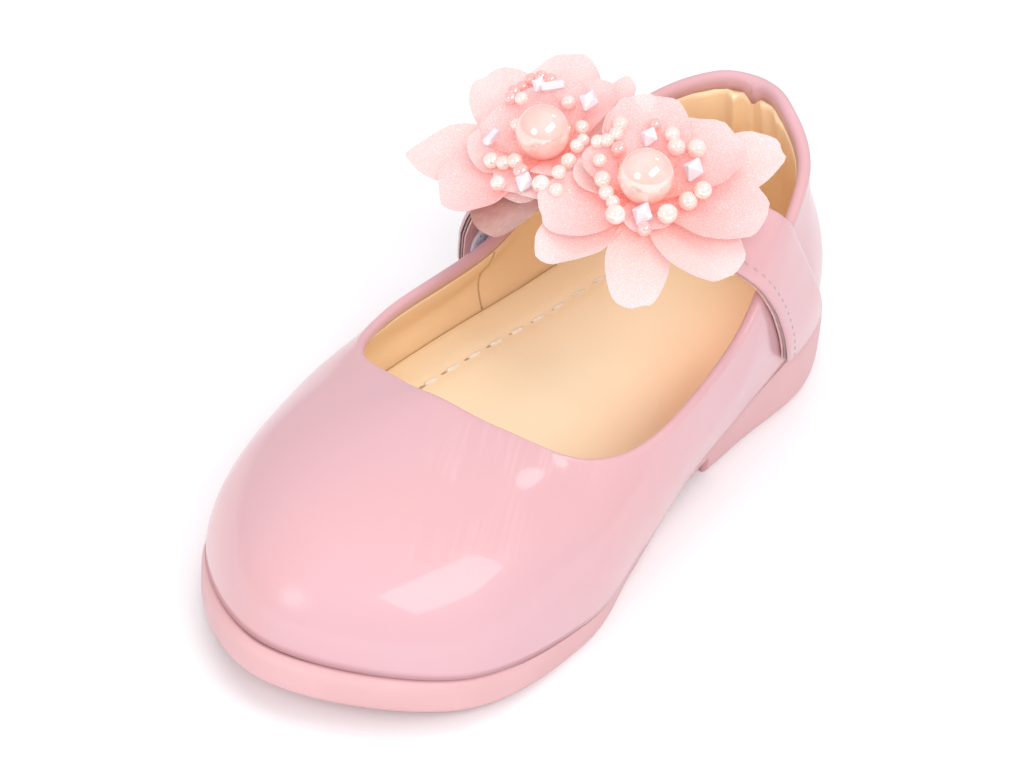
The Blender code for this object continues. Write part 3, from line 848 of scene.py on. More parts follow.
def sewing_thread(name, colour):
    """Soft thread with a twist of tone and relief."""
    material, tree, shader = new_material(name, 0.55, sheen_weight=0.3)
    twist = noise_node(tree, 1500.0, stretch=(1.0, 1.0, 0.33))
    dark = tuple(THREAD_SHADE * value for value in colour)
    tree.links.new(ramp_node(tree, twist, (0.35, dark), (0.65, colour)), shader.inputs["Base Color"])
    bump_node(tree, shader, twist, 0.08, 0.5)
    return material


# The insole's deeper tone is painted shade along the medial wall and towards the heel
insole_finish = cream_leatherette(
    "cream_insole", (0.98, 0.84, 0.60), (0.97, 0.80, 0.55), painted_shade_tone=(0.95, 0.57, 0.36)
)
insole_loop = loop_stations(INSOLE_STATIONS)
insole_points = []
for rise, inset in zip(INSOLE_EDGE, INSOLE_EDGE_IN):
    for side, t in insole_loop:
        rim = feather_point(side, t) - outward(side, t) * (INSOLE_INSET + inset)
        rim.z += INSOLE_LIFT + (INSOLE_THICK - INSOLE_LIFT) * rise
        insole_points.append(swung(rim))
insole_count = len(insole_loop)
insole_faces = loft_faces(len(INSOLE_EDGE), insole_count)
insole_faces += fill_across(insole_points, list(range(insole_count)), INSOLE_UNDER_COLUMNS, level)
insole_top = list(range((len(INSOLE_EDGE) - 1) * insole_count, len(INSOLE_EDGE) * insole_count))
insole_faces += fill_across(insole_points, insole_top, INSOLE_COLUMNS, insole_height)
insole = add_mesh("insole_covered", insole_points, insole_faces, insole_finish)
# Painted shade: the cover is darkened to a deeper tone along the medial side, most of all behind the waist,
# where the medial wall and the strap shade it
painted_shade = []
for point in insole_points:
    behind = smooth_step((PAINTED_SHADE_FROM_U - point.y) / PAINTED_SHADE_OVER_U)
    aside = smooth_step((point.x - PAINTED_SHADE_FROM_X) / PAINTED_SHADE_OVER_X)
    painted_shade.append(aside * (PAINTED_SHADE_SIDE + PAINTED_SHADE_BEHIND * behind))
set_attribute(insole, "painted_shade", painted_shade)
seat(insole, "insole", "insole")

sewing = sewing_tree()


def insole_line(start, sink):
    """The insole's seam from a distance behind its front end, sunk below its groove."""
    line = []
    away = start / math.dist(SEAM_FROM, SEAM_TO)
    for step in range(SEAM_STEPS + 1):
        share = away + (1.0 - away) * step / SEAM_STEPS
        x = SEAM_FROM[0] + (SEAM_TO[0] - SEAM_FROM[0]) * share
        u = SEAM_FROM[1] + (SEAM_TO[1] - SEAM_FROM[1]) * share
        board_z = blend(FEATHER, station_at(u), FEATHER_MIRRORED).z
        groove_z = board_z + INSOLE_THICK + INSOLE_CROWN - SEAM_GROOVE
        line.append((Vector((x, u, groove_z - sink)), Vector((0.0, 0.0, 1.0))))
    return line


pale_thread = sewing_thread("pale_thread", (0.97, 0.88, 0.76))
seam_line = insole_line(0.0, 0.0)
seat(sewn("insole_stitches", seam_line, STITCH_PITCH, STITCH_LENGTH, THREAD, pale_thread), "insole")
# The needle holes are sunk dashes in a darker copy of the thread colour: painted shade in the holes
shaded_thread = sewing_thread("shaded_thread", (0.55, 0.36, 0.22))
hole_line = insole_line(STITCH_PITCH / 2, HOLE_SINK)
seat(sewn("insole_needle_holes", hole_line, STITCH_PITCH, HOLE_LENGTH, HOLE_WIDTH, shaded_thread), "insole")

# Strap
# Patent above and a dusty pink backing below, sewn over a grey board whose raw edge shows between them;
# that dark grey is partly the board's own tone and partly painted shade.
# It is sewn down the medial quarter, crosses the instep and closes with its tail on the lateral quarter.
OnQuarter = namedtuple("OnQuarter", "u z half slant")
OverInstep = namedtuple("OverInstep", "x u z half slant")
STRAP_MEDIAL = (
    OnQuarter(26.6, 13.4, 6.6, 6.0),
    OnQuarter(29.2, 18.2, 6.2, 16.0),
    OnQuarter(32.6, 23.8, 5.8, 25.0),
    OnQuarter(36.4, 29.6, 5.7, 26.0),
)
STRAP_INSTEP = (
    OverInstep(20.6, 41.6, 36.6, 5.7, 26.0),
    OverInstep(14.4, 46.2, 40.2, 5.8, 18.0),
    OverInstep(4.2, 49.4, 41.7, 5.8, 10.0),
    OverInstep(-4.0, 50.2, 41.7, 5.8, 6.0),
    OverInstep(-11.8, 50.2, 40.2, 5.8, 4.0),
    OverInstep(-18.8, 49.4, 36.4, 5.8, 10.0),
    OverInstep(-23.6, 48.2, 31.4, 5.8, 18.0),
    OverInstep(-26.2, 46.6, 26.6, 5.8, 24.0),
)
TAIL_FROM = OnQuarter(44.6, 21.8, 5.8, 27.0)
TAIL_TURN = OnQuarter(42.3, 17.4, 5.8, 27.0)
TAIL_ROUND = 5.2
TAIL_SHARES = (0.35, 0.62, 0.82, 0.94, 0.995)
GAP = 0.3
STRAP_THICK = 1.6
PAD_THICK = 0.9
FASTENER_GAP = 0.5
STRAP_STEPS = 7
STRAP_COLUMNS = 14
STRAP_CROWN = 0.2
STRAP_ROUND = 0.1
STRAP_EDGE_DROP = 0.75
BACKING_THICK = 0.45
CORE_THICK = 0.45
LOWER_INSET = 0.985
LAYER_GAP = 0.04
SEWN_END_THIN = 0.45
SEWN_END_ROWS = 1.5
SEAM_INSET = 1.8
STRAP_PITCH = 2.0
STRAP_STITCH = 1.2
STRAP_THREAD = 0.36
SEWN_FROM_ROW = 0.25
BACK_SEAM_FROM = 9.0
EDGE_STEPS = 120
TIP_STEPS = 40
StrapRow = namedtuple("StrapRow", "front middle back")


def quarter_row(side, row, stand_off):
    """Front edge, middle and back edge of the strap, each standing off the quarter by the same amount."""
    slant = math.radians(row.slant)
    points = []
    for share in (-row.half, 0.0, row.half):
        u = row.u - share * math.cos(slant)
        z = row.z + share * math.sin(slant)
        points.append(on_quarter(side, u, z, stand_off))
    return StrapRow(*points)


def past_turn(distance):
    """The u and z of the tail's middle line at a distance past its turn."""
    run_u, run_z = TAIL_TURN.u - TAIL_FROM.u, TAIL_TURN.z - TAIL_FROM.z
    way = distance / math.hypot(run_u, run_z)
    return TAIL_TURN.u + run_u * way, TAIL_TURN.z + run_z * way


def tail_rows():
    """Rows of the tail on the lateral quarter, narrowing on a round to its end."""
    rows = [TAIL_FROM, TAIL_TURN]
    for share in TAIL_SHARES:
        half = TAIL_TURN.half * math.sqrt(1.0 - share * share)
        rows.append(OnQuarter(*past_turn(TAIL_ROUND * share), half, TAIL_TURN.slant))
    return rows


def strap_rows():
    """The strap's rows from its sewn medial end over the instep to the tail on the lateral quarter."""
    sewn = GAP + STRAP_THICK / 2
    fastened = 2 * GAP + FASTENER_GAP + 2 * PAD_THICK + STRAP_THICK / 2
    rows = [quarter_row(MEDIAL, row, sewn) for row in STRAP_MEDIAL]
    tail = [quarter_row(LATERAL, row, fastened) for row in tail_rows()]
    path = [rows[-1].middle]
    path += [Vector((row.x, row.u, row.z)) for row in STRAP_INSTEP]
    path += [tail[0].middle]
    for k, row in enumerate(STRAP_INSTEP, 1):
        run = (path[k + 1] - path[k - 1]).normalized()
        slant = math.radians(row.slant)
        back_way = Vector((0.0, -math.cos(slant), math.sin(slant)))
        edge = (back_way - run * back_way.dot(run)).normalized() * row.half
        rows.append(StrapRow(path[k] - edge, path[k], path[k] + edge))
    return rows + tail


def strap_row(rows, t):
    """Smooth strap row at t, straight at both ends."""
    last = len(rows) - 1
    i = max(0, min(int(t), last - 1))
    f = t - i
    near = [rows[max(0, min(last, i + step))] for step in (-1, 0, 1, 2)]
    return StrapRow(*(smooth_between(*columns, f) for columns in zip(*near)))


def strap_frame(rows, t):
    """The strap's row at t, with the direction to its back edge and its outward normal."""
    step = 0.05
    last = len(rows) - 1
    row = strap_row(rows, t)
    run = strap_row(rows, min(last, t + step)).middle - strap_row(rows, max(0, t - step)).middle
    back_way = (row.back - row.front).normalized()
    return row, back_way, run.cross(back_way).normalized()


def across_strap(row, share):
    """Point across the strap, from -1 at the front edge to 1 at the back edge."""
    bow = row.middle - (row.front + row.back) / 2
    return row.middle + (row.back - row.front) * (share / 2) - bow * share * share


def strap_thickness(t):
    """Share of the full thickness at a row: the sewn medial end is pressed thin."""
    return SEWN_END_THIN + (1.0 - SEWN_END_THIN) * smooth_step(t / SEWN_END_ROWS)


def strap_layer(name, rows, low, high, width, crown, material):
    """One layer of the strap between two heights over its middle surface, with rounded upper edges."""
    steps = (len(rows) - 1) * STRAP_STEPS
    shares = [-math.cos(math.pi * j / STRAP_COLUMNS) for j in range(STRAP_COLUMNS + 1)]
    points = []
    for k in range(steps + 1):
        t = k / STRAP_STEPS
        row, _, normal = strap_frame(rows, t)
        thin = strap_thickness(t)
        for share in shares:
            past = max(0.0, (abs(share) - (1.0 - STRAP_ROUND)) / STRAP_ROUND)
            rounding = 1.0 - math.sqrt(max(0.0, 1.0 - past * past))
            top = low + (high - low) * thin * (1.0 - STRAP_EDGE_DROP * rounding)
            top += crown * (1.0 - share * share)
            points.append(across_strap(row, share * width) + normal * top)
        for share in reversed(shares):
            points.append(across_strap(row, share * width) + normal * low)
    return add_mesh(name, points, capped_loft(steps + 1, 2 * len(shares)), material)


def strap_cloth(name, shade, light):
    """Matt woven layer of the strap."""
    material, tree, shader = new_material(name, 0.6)
    weave = noise_node(tree, 900.0, detail=4.0)
    tree.links.new(ramp_node(tree, weave, (0.3, shade), (0.7, light)), shader.inputs["Base Color"])
    bump_node(tree, shader, weave, 0.08, 0.4)
    return material


strap_table = strap_rows()
half_thick = STRAP_THICK / 2
backing_top = BACKING_THICK - half_thick
core_top = backing_top + LAYER_GAP + CORE_THICK
strap = strap_layer("strap_patent", strap_table, core_top + LAYER_GAP, half_thick, 1.0, STRAP_CROWN, patent)
set_attribute(strap, "vamp", np.zeros(len(strap.data.vertices)))
seat(strap, "strap", "strap")
dusty = strap_cloth("dusty_backing", (0.72, 0.42, 0.40), (0.80, 0.50, 0.47))
backing = strap_layer("strap_backing", strap_table, -half_thick, backing_top, LOWER_INSET, 0.0, dusty)
seat(backing, "strap")
# The board's dark grey is partly its own tone and partly painted shade in the gap at the strap's edge
board_grey_and_shade = strap_cloth("grey_board", (0.36, 0.28, 0.26), (0.48, 0.38, 0.36))
core = strap_layer("strap_core", strap_table, backing_top + LAYER_GAP, core_top, LOWER_INSET, 0.0, board_grey_and_shade)
seat(core, "strap")


def sewn_edge(first, last, edge_side):
    """Points and normals of the sewing along one edge of the strap, between two rows."""
    line = []
    for step in range(EDGE_STEPS + 1):
        t = first + (last - first) * step / EDGE_STEPS
        row, _, normal = strap_frame(strap_table, t)
        share = edge_side * (1.0 - 2.0 * SEAM_INSET / (row.back - row.front).length)
        crown = STRAP_CROWN * (1.0 - share * share)
        height = core_top + (half_thick - core_top) * strap_thickness(t) + crown
        line.append((across_strap(row, share) + normal * (height - STRAP_THREAD / 6), normal))
    return line


def sewn_tip():
    """Points and normals of the sewing round the tip of the tail, from its front edge to its back edge."""
    slant = math.radians(TAIL_TURN.slant)
    height = 2 * GAP + FASTENER_GAP + 2 * PAD_THICK + STRAP_THICK
    line = []
    for step in range(1, TIP_STEPS):
        turn = math.pi * (step / TIP_STEPS - 0.5)
        ahead = (TAIL_ROUND - SEAM_INSET) * math.cos(turn)
        aside = (TAIL_TURN.half - SEAM_INSET) * math.sin(turn)
        u, z = past_turn(ahead)
        u -= aside * math.cos(slant)
        z += aside * math.sin(slant)
        half = TAIL_TURN.half * math.sqrt(1.0 - (ahead / TAIL_ROUND) ** 2)
        crown = STRAP_CROWN * (1.0 - (aside / half) ** 2)
        seat_point = on_quarter(LATERAL, u, z, height + crown - STRAP_THREAD / 6)
        line.append((seat_point, (seat_point - on_quarter(LATERAL, u, z, 0.0)).normalized()))
    return line


# The sewing follows the front edge all along, goes round the tip and comes back to the flowers
tail_row = len(strap_table) - 1 - len(TAIL_SHARES)
edge_line = sewn_edge(SEWN_FROM_ROW, tail_row, -1.0) + sewn_tip() + sewn_edge(tail_row, BACK_SEAM_FROM, 1.0)
pink_thread = sewing_thread("pink_thread", (0.50, 0.36, 0.38))
seat(sewn("strap_stitches", edge_line, STRAP_PITCH, STRAP_STITCH, STRAP_THREAD, pink_thread), "strap")

# Fastener
# Hook-and-loop tape in pale lilac: the looped half is sewn to the lateral quarter behind the tail,
# the hooked half under the tail itself.
LOOP_PAD_U = (33.0, 49.0)
LOOP_PAD_Z = (14.0, 24.0)
LOOP_PAD_STEPS = 20
LOOP_PAD_CORNER = 0.16
HOOK_PAD_WIDTH = 0.8
HOOK_PAD_ROWS = 3.0
TAPE_THICK = 0.5
TAPE_GAP = 0.1
PILE_INSET = 0.94
LOOP_RADIUS = 0.26
LOOP_WIRE = 0.05
LOOPS_PER_SQUARE_MM = 3.2
PILE_SEED = 7


def pile_tree():
    """Small standing loops scattered over a tape: density, radius and wire are inputs."""
    tree, given, setter = piece_group("tape_pile", "Density", "Loop Radius", "Wire")
    scatter = tree.nodes.new("GeometryNodeDistributePointsOnFaces")
    scatter.inputs["Seed"].default_value = PILE_SEED
    ring = tree.nodes.new("GeometryNodeCurvePrimitiveCircle")
    ring.inputs["Resolution"].default_value = 7
    wire = tree.nodes.new("GeometryNodeCurvePrimitiveCircle")
    wire.inputs["Resolution"].default_value = 3
    loop = tree.nodes.new("GeometryNodeCurveToMesh")
    stand = tree.nodes.new("GeometryNodeTransform")
    stand.inputs["Rotation"].default_value = (math.pi / 2, 0.0, 0.0)
    spin = tree.nodes.new("FunctionNodeRandomValue")
    spin.data_type = "FLOAT_VECTOR"
    spin.inputs[0].default_value = (-0.5, -0.5, 0.0)
    spin.inputs[1].default_value = (0.5, 0.5, math.tau)
    spin.inputs["Seed"].default_value = PILE_SEED
    turn = tree.nodes.new("FunctionNodeRotateRotation")
    turn.rotation_space = "LOCAL"
    join(
        tree,
        (given["Carrier"], scatter.inputs["Mesh"]),
        (given["Density"], scatter.inputs["Density"]),
        (given["Loop Radius"], ring.inputs["Radius"]),
        (given["Wire"], wire.inputs["Radius"]),
        (ring.outputs["Curve"], loop.inputs["Curve"]),
        (wire.outputs["Curve"], loop.inputs["Profile Curve"]),
        (loop.outputs["Mesh"], stand.inputs["Geometry"]),
        (scatter.outputs["Points"], setter["Points"]),
        (stand.outputs["Geometry"], setter["Instance"]),
        (scatter.outputs["Rotation"], turn.inputs["Rotation"]),
        (spin.outputs[0], turn.inputs["Rotate By"]),
        (turn.outputs["Rotation"], setter["Rotation"]),
    )
    return tree


def lilac_tape():
    """Soft knitted tape with a fine unevenness of tone."""
    material, tree, shader = new_material("lilac_tape", 0.85, sheen_weight=0.5, sheen_roughness=0.4)
    knit = noise_node(tree, 1400.0, detail=3.0)
    lilac = ramp_node(tree, knit, (0.3, (0.84, 0.81, 0.91)), (0.7, (0.92, 0.90, 0.97)))
    tree.links.new(lilac, shader.inputs["Base Color"])
    bump_node(tree, shader, knit, 0.15, 0.6)
    return material


def tape_share(i, j, steps):
    """Shares along and across the tape at one step of each, drawn in at its rounded corners."""
    a, b = 2.0 * i / steps - 1.0, 2.0 * j / steps - 1.0
    squeeze = 1.0 - LOOP_PAD_CORNER * (abs(a) * abs(b)) ** 3
    return a * squeeze, b * squeeze


def tape_face(surface, steps, inset, height, first):
    """Points and faces of one side of a tape; surface(a, b, height) gives a point over the tape's seat."""
    points, faces = [], []
    width = steps + 1
    for i in range(width):
        for j in range(width):
            a, b = tape_share(i, j, steps)
            points.append(surface(a * inset, b * inset, height))
    for i in range(steps):
        for j in range(steps):
            k = first + i * width + j
            faces.append((k, k + width, k + width + 1, k + 1))
    return points, faces


def tape_mesh(name, surface, steps, material):
    """Tape with rounded corners, closed all round."""
    width = steps + 1
    points, faces = tape_face(surface, steps, 1.0, 0.0, 0)
    top_points, top_faces = tape_face(surface, steps, 1.0, TAPE_THICK, width * width)
    points += top_points
    faces += top_faces
    border = [i * width for i in range(width)] + [steps * width + j for j in range(1, width)]
    border += [i * width + steps for i in range(steps - 1, -1, -1)] + list(range(steps - 1, 0, -1))
    for k, ahead in zip(border, border[1:] + border[:1]):
        faces.append((k, ahead, ahead + width * width, k + width * width))
    return add_mesh(name, points, faces, material)


def pile_carrier(name, surface, steps):
    """Open face that the tape's loops stand on."""
    points, faces = tape_face(surface, steps, PILE_INSET, TAPE_THICK, 0)
    mesh = bpy.data.meshes.new(name)
    mesh.from_pydata([placed(point) for point in points], [], faces)
    return linked(name, mesh)


def loop_tape(a, b, height):
    """Place on the lateral quarter."""
    u = sum(LOOP_PAD_U) / 2 + a * (LOOP_PAD_U[1] - LOOP_PAD_U[0]) / 2
    z = sum(LOOP_PAD_Z) / 2 + b * (LOOP_PAD_Z[1] - LOOP_PAD_Z[0]) / 2
    return on_quarter(LATERAL, u, z, TAPE_GAP + height)


def hook_tape(a, b, height):
    """Place under the strap's tail."""
    first = len(STRAP_MEDIAL) + len(STRAP_INSTEP)
    row, _, normal = strap_frame(strap_table, first + (a + 1.0) / 2 * HOOK_PAD_ROWS)
    return across_strap(row, b * HOOK_PAD_WIDTH) - normal * (half_thick + TAPE_GAP + height)


tape = lilac_tape()
pile = pile_tree()
for tape_name, tape_place, tape_node in (("loop", loop_tape, "loop_pad"), ("hook", hook_tape, "hook_pad")):
    pad = tape_mesh(f"{tape_name}_tape", tape_place, LOOP_PAD_STEPS, tape)
    seat(pad, tape_node, tape_node)
    tape_pile = grown(
        f"{tape_name}_pile", pile_carrier(f"{tape_name}_field", tape_place, LOOP_PAD_STEPS), pile,
        density=LOOPS_PER_SQUARE_MM / MM ** 2, loop_radius=LOOP_RADIUS * MM, wire=LOOP_WIRE * MM,
        finish=tape,
    )
    seat(tape_pile, tape_node)

# Flower petals
# Two flowers of sparkling organza sewn to the strap, each with a lower ring of long frosted petals and
# an upper ring of broad coral ones, hot-cut at their wavy edges and stitched together in the middle.
# A felt tab shows below the lateral flower, its dusky tone darkened as painted shade.
Petal = namedtuple("Petal", "bearing length width fall cup tilt point")
# Bearings turn from the medial side towards the toe, fall is how far a tip hangs below the middle
# and tilt is how steeply a petal is turned about its own length
LATERAL_LOWER = (
    Petal(63.0, 10.5, 9.0, 1.0, 0.8, 0.0, 0.6),
    Petal(112.0, 9.0, 11.0, 2.0, 0.8, 0.2, 0.4),
    Petal(167.0, 24.0, 11.0, -2.6, 0.8, 0.4, 0.9),
    Petal(211.0, 23.2, 11.5, -8.4, 1.4, 0.15, 0.2),
    Petal(242.0, 22.5, 13.5, -8.0, 1.4, 0.0, 0.2),
    Petal(279.0, 18.8, 10.0, -5.0, 1.0, 0.0, 0.8),
    Petal(325.0, 11.0, 11.0, -2.0, 1.0, 0.0, 0.4),
)
LATERAL_UPPER = (
    Petal(142.0, 17.2, 15.0, 1.2, 0.8, 0.35, 0.0),
    Petal(100.0, 9.0, 11.0, 1.6, 0.8, 0.1, 0.2),
    Petal(176.0, 13.0, 12.0, -3.6, 1.2, 0.45, 0.2),
    Petal(207.0, 14.0, 13.0, -5.4, 1.6, 0.2, 0.2),
    Petal(238.0, 15.0, 13.0, -6.2, 1.6, 0.0, 0.2),
    Petal(270.0, 14.9, 13.0, -5.4, 1.4, 0.0, 0.2),
    Petal(28.0, 8.0, 10.0, 0.0, 1.2, 0.0, 0.2),
)
MEDIAL_LOWER = (
    Petal(123.0, 18.3, 10.5, 2.2, 0.8, 0.0, 0.7),
    Petal(71.0, 19.6, 9.4, 2.4, 0.6, 0.0, 0.2),
    Petal(24.0, 18.6, 12.5, 0.2, 0.8, 0.0, 0.1),
    Petal(309.0, 23.4, 9.5, -2.6, 0.6, -0.3, 0.1),
    Petal(283.0, 17.6, 12.5, -3.5, 1.2, 0.0, 0.2),
    Petal(246.0, 16.5, 12.0, -5.6, 1.4, 0.0, 0.2),
    Petal(196.0, 11.5, 11.0, -1.6, 1.2, 0.0, 0.3),
)
MEDIAL_UPPER = (
    Petal(143.0, 15.4, 13.5, 1.2, 1.0, 0.0, 0.1),
    Petal(349.0, 18.2, 15.0, -1.4, 1.4, 0.0, 0.2),
    Petal(299.0, 17.0, 13.0, -4.0, 1.4, 0.0, 0.3),
    Petal(250.0, 16.5, 12.5, -5.4, 1.6, 0.0, 0.2),
    Petal(212.0, 11.0, 12.0, -2.6, 1.6, 0.0, 0.2),
    Petal(62.0, 7.0, 8.0, 0.4, 0.8, 0.0, 0.3),
)
FELT_TAB = Petal(107.0, 14.0, 15.5, 4.5, 0.3, 0.0, 0.0)
PETAL_ROWS = 22
PETAL_COLUMNS = 18
PETAL_START = 1.0
PETAL_WAIST = 0.34
PETAL_FULL = 0.62
PETAL_OUTER = 0.55
PETAL_SHOULDER = 0.6
PETAL_BLUNT = 2.6
PETAL_SHARP = 1.3
PETAL_ROUND = 0.55
PETAL_BEND = 1.5
PETAL_RAGGED = 0.035
RAGGED_ACROSS = 2.2
RAGGED_ALONG = 4.0
PETAL_NICK = 0.008
NICK_ACROSS = 10.0
PETAL_RIPPLE = 0.35
RIPPLE_ACROSS = 4.5
RIPPLE_SHIFT = 1.7
RIPPLE_FROM = 0.4
PETAL_CRINKLE = 0.3
CRINKLE_ALONG = 0.28
CRINKLE_ACROSS = 0.3
PETAL_PLEAT = 0.35
PLEAT_HALF = 0.2
ORGANZA_THICK = 0.12
FELT_HEIGHT = 0.3
LOWER_HEIGHT = 0.7
UPPER_HEIGHT = 1.6
LAYER_STEP = 0.16
FlowerSeat = namedtuple("FlowerSeat", "row ahead pearl")
FLOWER_SEATS = {"lateral": FlowerSeat(4, 0.0, 5.9), "medial": FlowerSeat(2, 2.2, 5.9)}


def organza(name, middle, body, tip):
    """Sheer sparkling cloth: deeper at the middle, frosted to the tip, thin enough to let some light
    through; it also glows in its own colour as painted glow, and its pale flecks are partly painted glints.
    """
    material, tree, shader = new_material(
        name, 0.5, sheen_weight=0.4, sheen_roughness=0.35, specular_ior_level=0.3, alpha=0.88,
        # The emission is painted glow in the cloth's own colour, standing in for light that passes through
        # the petals
        emission_strength=0.3,
    )
    shade = ramp_node(tree, attribute_node(tree, "reach"), (0.1, middle), (0.5, body), (0.95, tip))
    glint = noise_node(tree, 5200.0, detail=2.0)
    # Pale flecks for the glitter: partly the glitter's own tone, partly painted glints that also glow
    painted_glint_fleck = mask_node(tree, glint, 0.5, 0.72)
    sparkling = mix_node(tree, times_node(tree, painted_glint_fleck, 0.4), shade, (1.0, 0.95, 0.95))
    tree.links.new(sparkling, shader.inputs["Base Color"])
    tree.links.new(sparkling, shader.inputs["Emission Color"])
    bright = ramp_node(tree, glint, (0.45, (0.6, 0.6, 0.6)), (0.7, (0.2, 0.2, 0.2)))
    tree.links.new(bright, shader.inputs["Roughness"])
    bump_node(tree, shader, glint, 0.12, 0.6)
    return material


def petal_spot(petal, height, number, share, q):
    """Place of one point of a petal: along it, across it and over the strap."""
    grain = Vector((q * RAGGED_ACROSS, petal.bearing, height))
    nick = Vector((q * NICK_ACROSS, petal.bearing, height))
    blunt = PETAL_BLUNT + (PETAL_SHARP - PETAL_BLUNT) * petal.point
    end = PETAL_SHOULDER + (1.0 - PETAL_SHOULDER) * max(0.0, 1.0 - abs(q) ** blunt) ** PETAL_ROUND
    end *= 1.0 + PETAL_RAGGED * noise.noise(grain) + PETAL_NICK * noise.noise(nick)
    far = PETAL_START + (petal.length * end - PETAL_START) * share
    along = far / petal.length
    half = petal.width / 2 * (PETAL_WAIST + (1.0 - PETAL_WAIST) * smooth_step(along / PETAL_FULL))
    edge_grain = Vector((along * RAGGED_ALONG, petal.bearing, math.copysign(height, q)))
    half *= 1.0 + PETAL_RAGGED * noise.noise(edge_grain)
    outer = smooth_step(along / PETAL_OUTER)
    lift = height + LAYER_STEP * (number % 3) - petal.fall * along ** PETAL_BEND
    lift += petal.cup * q * q * outer + petal.tilt * q * half * outer
    rippled = smooth_step((along - RIPPLE_FROM) / (1.0 - RIPPLE_FROM))
    lift += PETAL_RIPPLE * math.sin(q * RIPPLE_ACROSS + number * RIPPLE_SHIFT) * rippled
    crinkle = Vector((far * CRINKLE_ALONG, q * half * CRINKLE_ACROSS, petal.bearing))
    lift += PETAL_CRINKLE * noise.noise(crinkle) * outer
    lift -= PETAL_PLEAT * math.exp(-((q / PLEAT_HALF) ** 2)) * (1.0 - along) * outer
    return far, q * half, lift, along


def petal_ring(name, axes, petals, height, material):
    """One ring of petals as thin curled sheets; returns the piece, its flat area and its spots."""
    middle, across, toeward, normal = axes
    points, faces, reach, spots, area = [], [], [], [], 0.0
    width = PETAL_COLUMNS + 1
    for number, petal in enumerate(petals):
        turn = math.radians(petal.bearing)
        first = len(points)
        flat = []
        for i in range(PETAL_ROWS + 1):
            for j in range(width):
                q = -math.cos(math.pi * j / PETAL_COLUMNS)
                far, out, lift, along = petal_spot(petal, height, number, i / PETAL_ROWS, q)
                x = far * math.cos(turn) - out * math.sin(turn)
                y = far * math.sin(turn) + out * math.cos(turn)
                points.append(middle + across * x + toeward * y + normal * lift)
                spots.append((x, y, lift))
                flat.append(Vector((far, out)))
                reach.append(along)
        for i in range(PETAL_ROWS):
            for j in range(PETAL_COLUMNS):
                k = i * width + j
                faces.append((first + k, first + k + 1, first + k + width + 1, first + k + width))
                area += abs((flat[k + width + 1] - flat[k]).cross(flat[k + width] - flat[k + 1])) / 2
    piece = add_mesh(name, points, faces, material)
    set_attribute(piece, "reach", reach)
    shape = bmesh.new()
    shape.from_mesh(piece.data)
    for edge in shape.edges:
        edge.smooth = not edge.is_boundary
    shape.to_mesh(piece.data)
    shape.free()
    sheet = piece.modifiers.new("organza", "SOLIDIFY")
    sheet.thickness = ORGANZA_THICK * MM
    sheet.offset = 0.0
    return piece, area * MM ** 2, spots


def flower_axes(place):
    """Middle of a flower on the strap's outer face, with its medial, toeward and outward directions."""
    flower = FLOWER_SEATS[place]
    row, back_way, normal = strap_frame(strap_table, len(STRAP_MEDIAL) + flower.row)
    toeward = -back_way
    middle = row.middle + normal * half_thick + toeward * flower.ahead
    return middle, toeward.cross(normal), toeward, normal


frosted = organza("frosted_organza", (0.75, 0.31, 0.26), (0.72, 0.44, 0.41), (0.70, 0.51, 0.50))
coral = organza("coral_organza", (0.76, 0.24, 0.19), (0.74, 0.36, 0.34), (0.72, 0.47, 0.46))
petal_spots = {"lateral": [], "medial": []}
rings = (
    ("lateral", "petals", LATERAL_LOWER),
    ("lateral", "florets", LATERAL_UPPER),
    ("medial", "petals", MEDIAL_LOWER),
    ("medial", "florets", MEDIAL_UPPER),
)
layers = {"petals": (LOWER_HEIGHT, frosted), "florets": (UPPER_HEIGHT, coral)}
for place, layer, petals in rings:
    axes = flower_axes(place)
    height, cloth = layers[layer]
    node = f"flower_{place}_{layer}"
    ring, area, spots = petal_ring(f"{place}_{layer}_organza", axes, petals, height, cloth)
    petal_spots[place] += spots
    seat(ring, layer, node)
# The felt's dark dusky tone is painted shade from the flower above it
dusty_felt = strap_cloth("dusty_felt", (0.50, 0.29, 0.25), (0.58, 0.35, 0.31))
felt, area, _ = petal_ring("lateral_felt_tab", flower_axes("lateral"), (FELT_TAB,), FELT_HEIGHT, dusty_felt)
seat(felt, "petals")

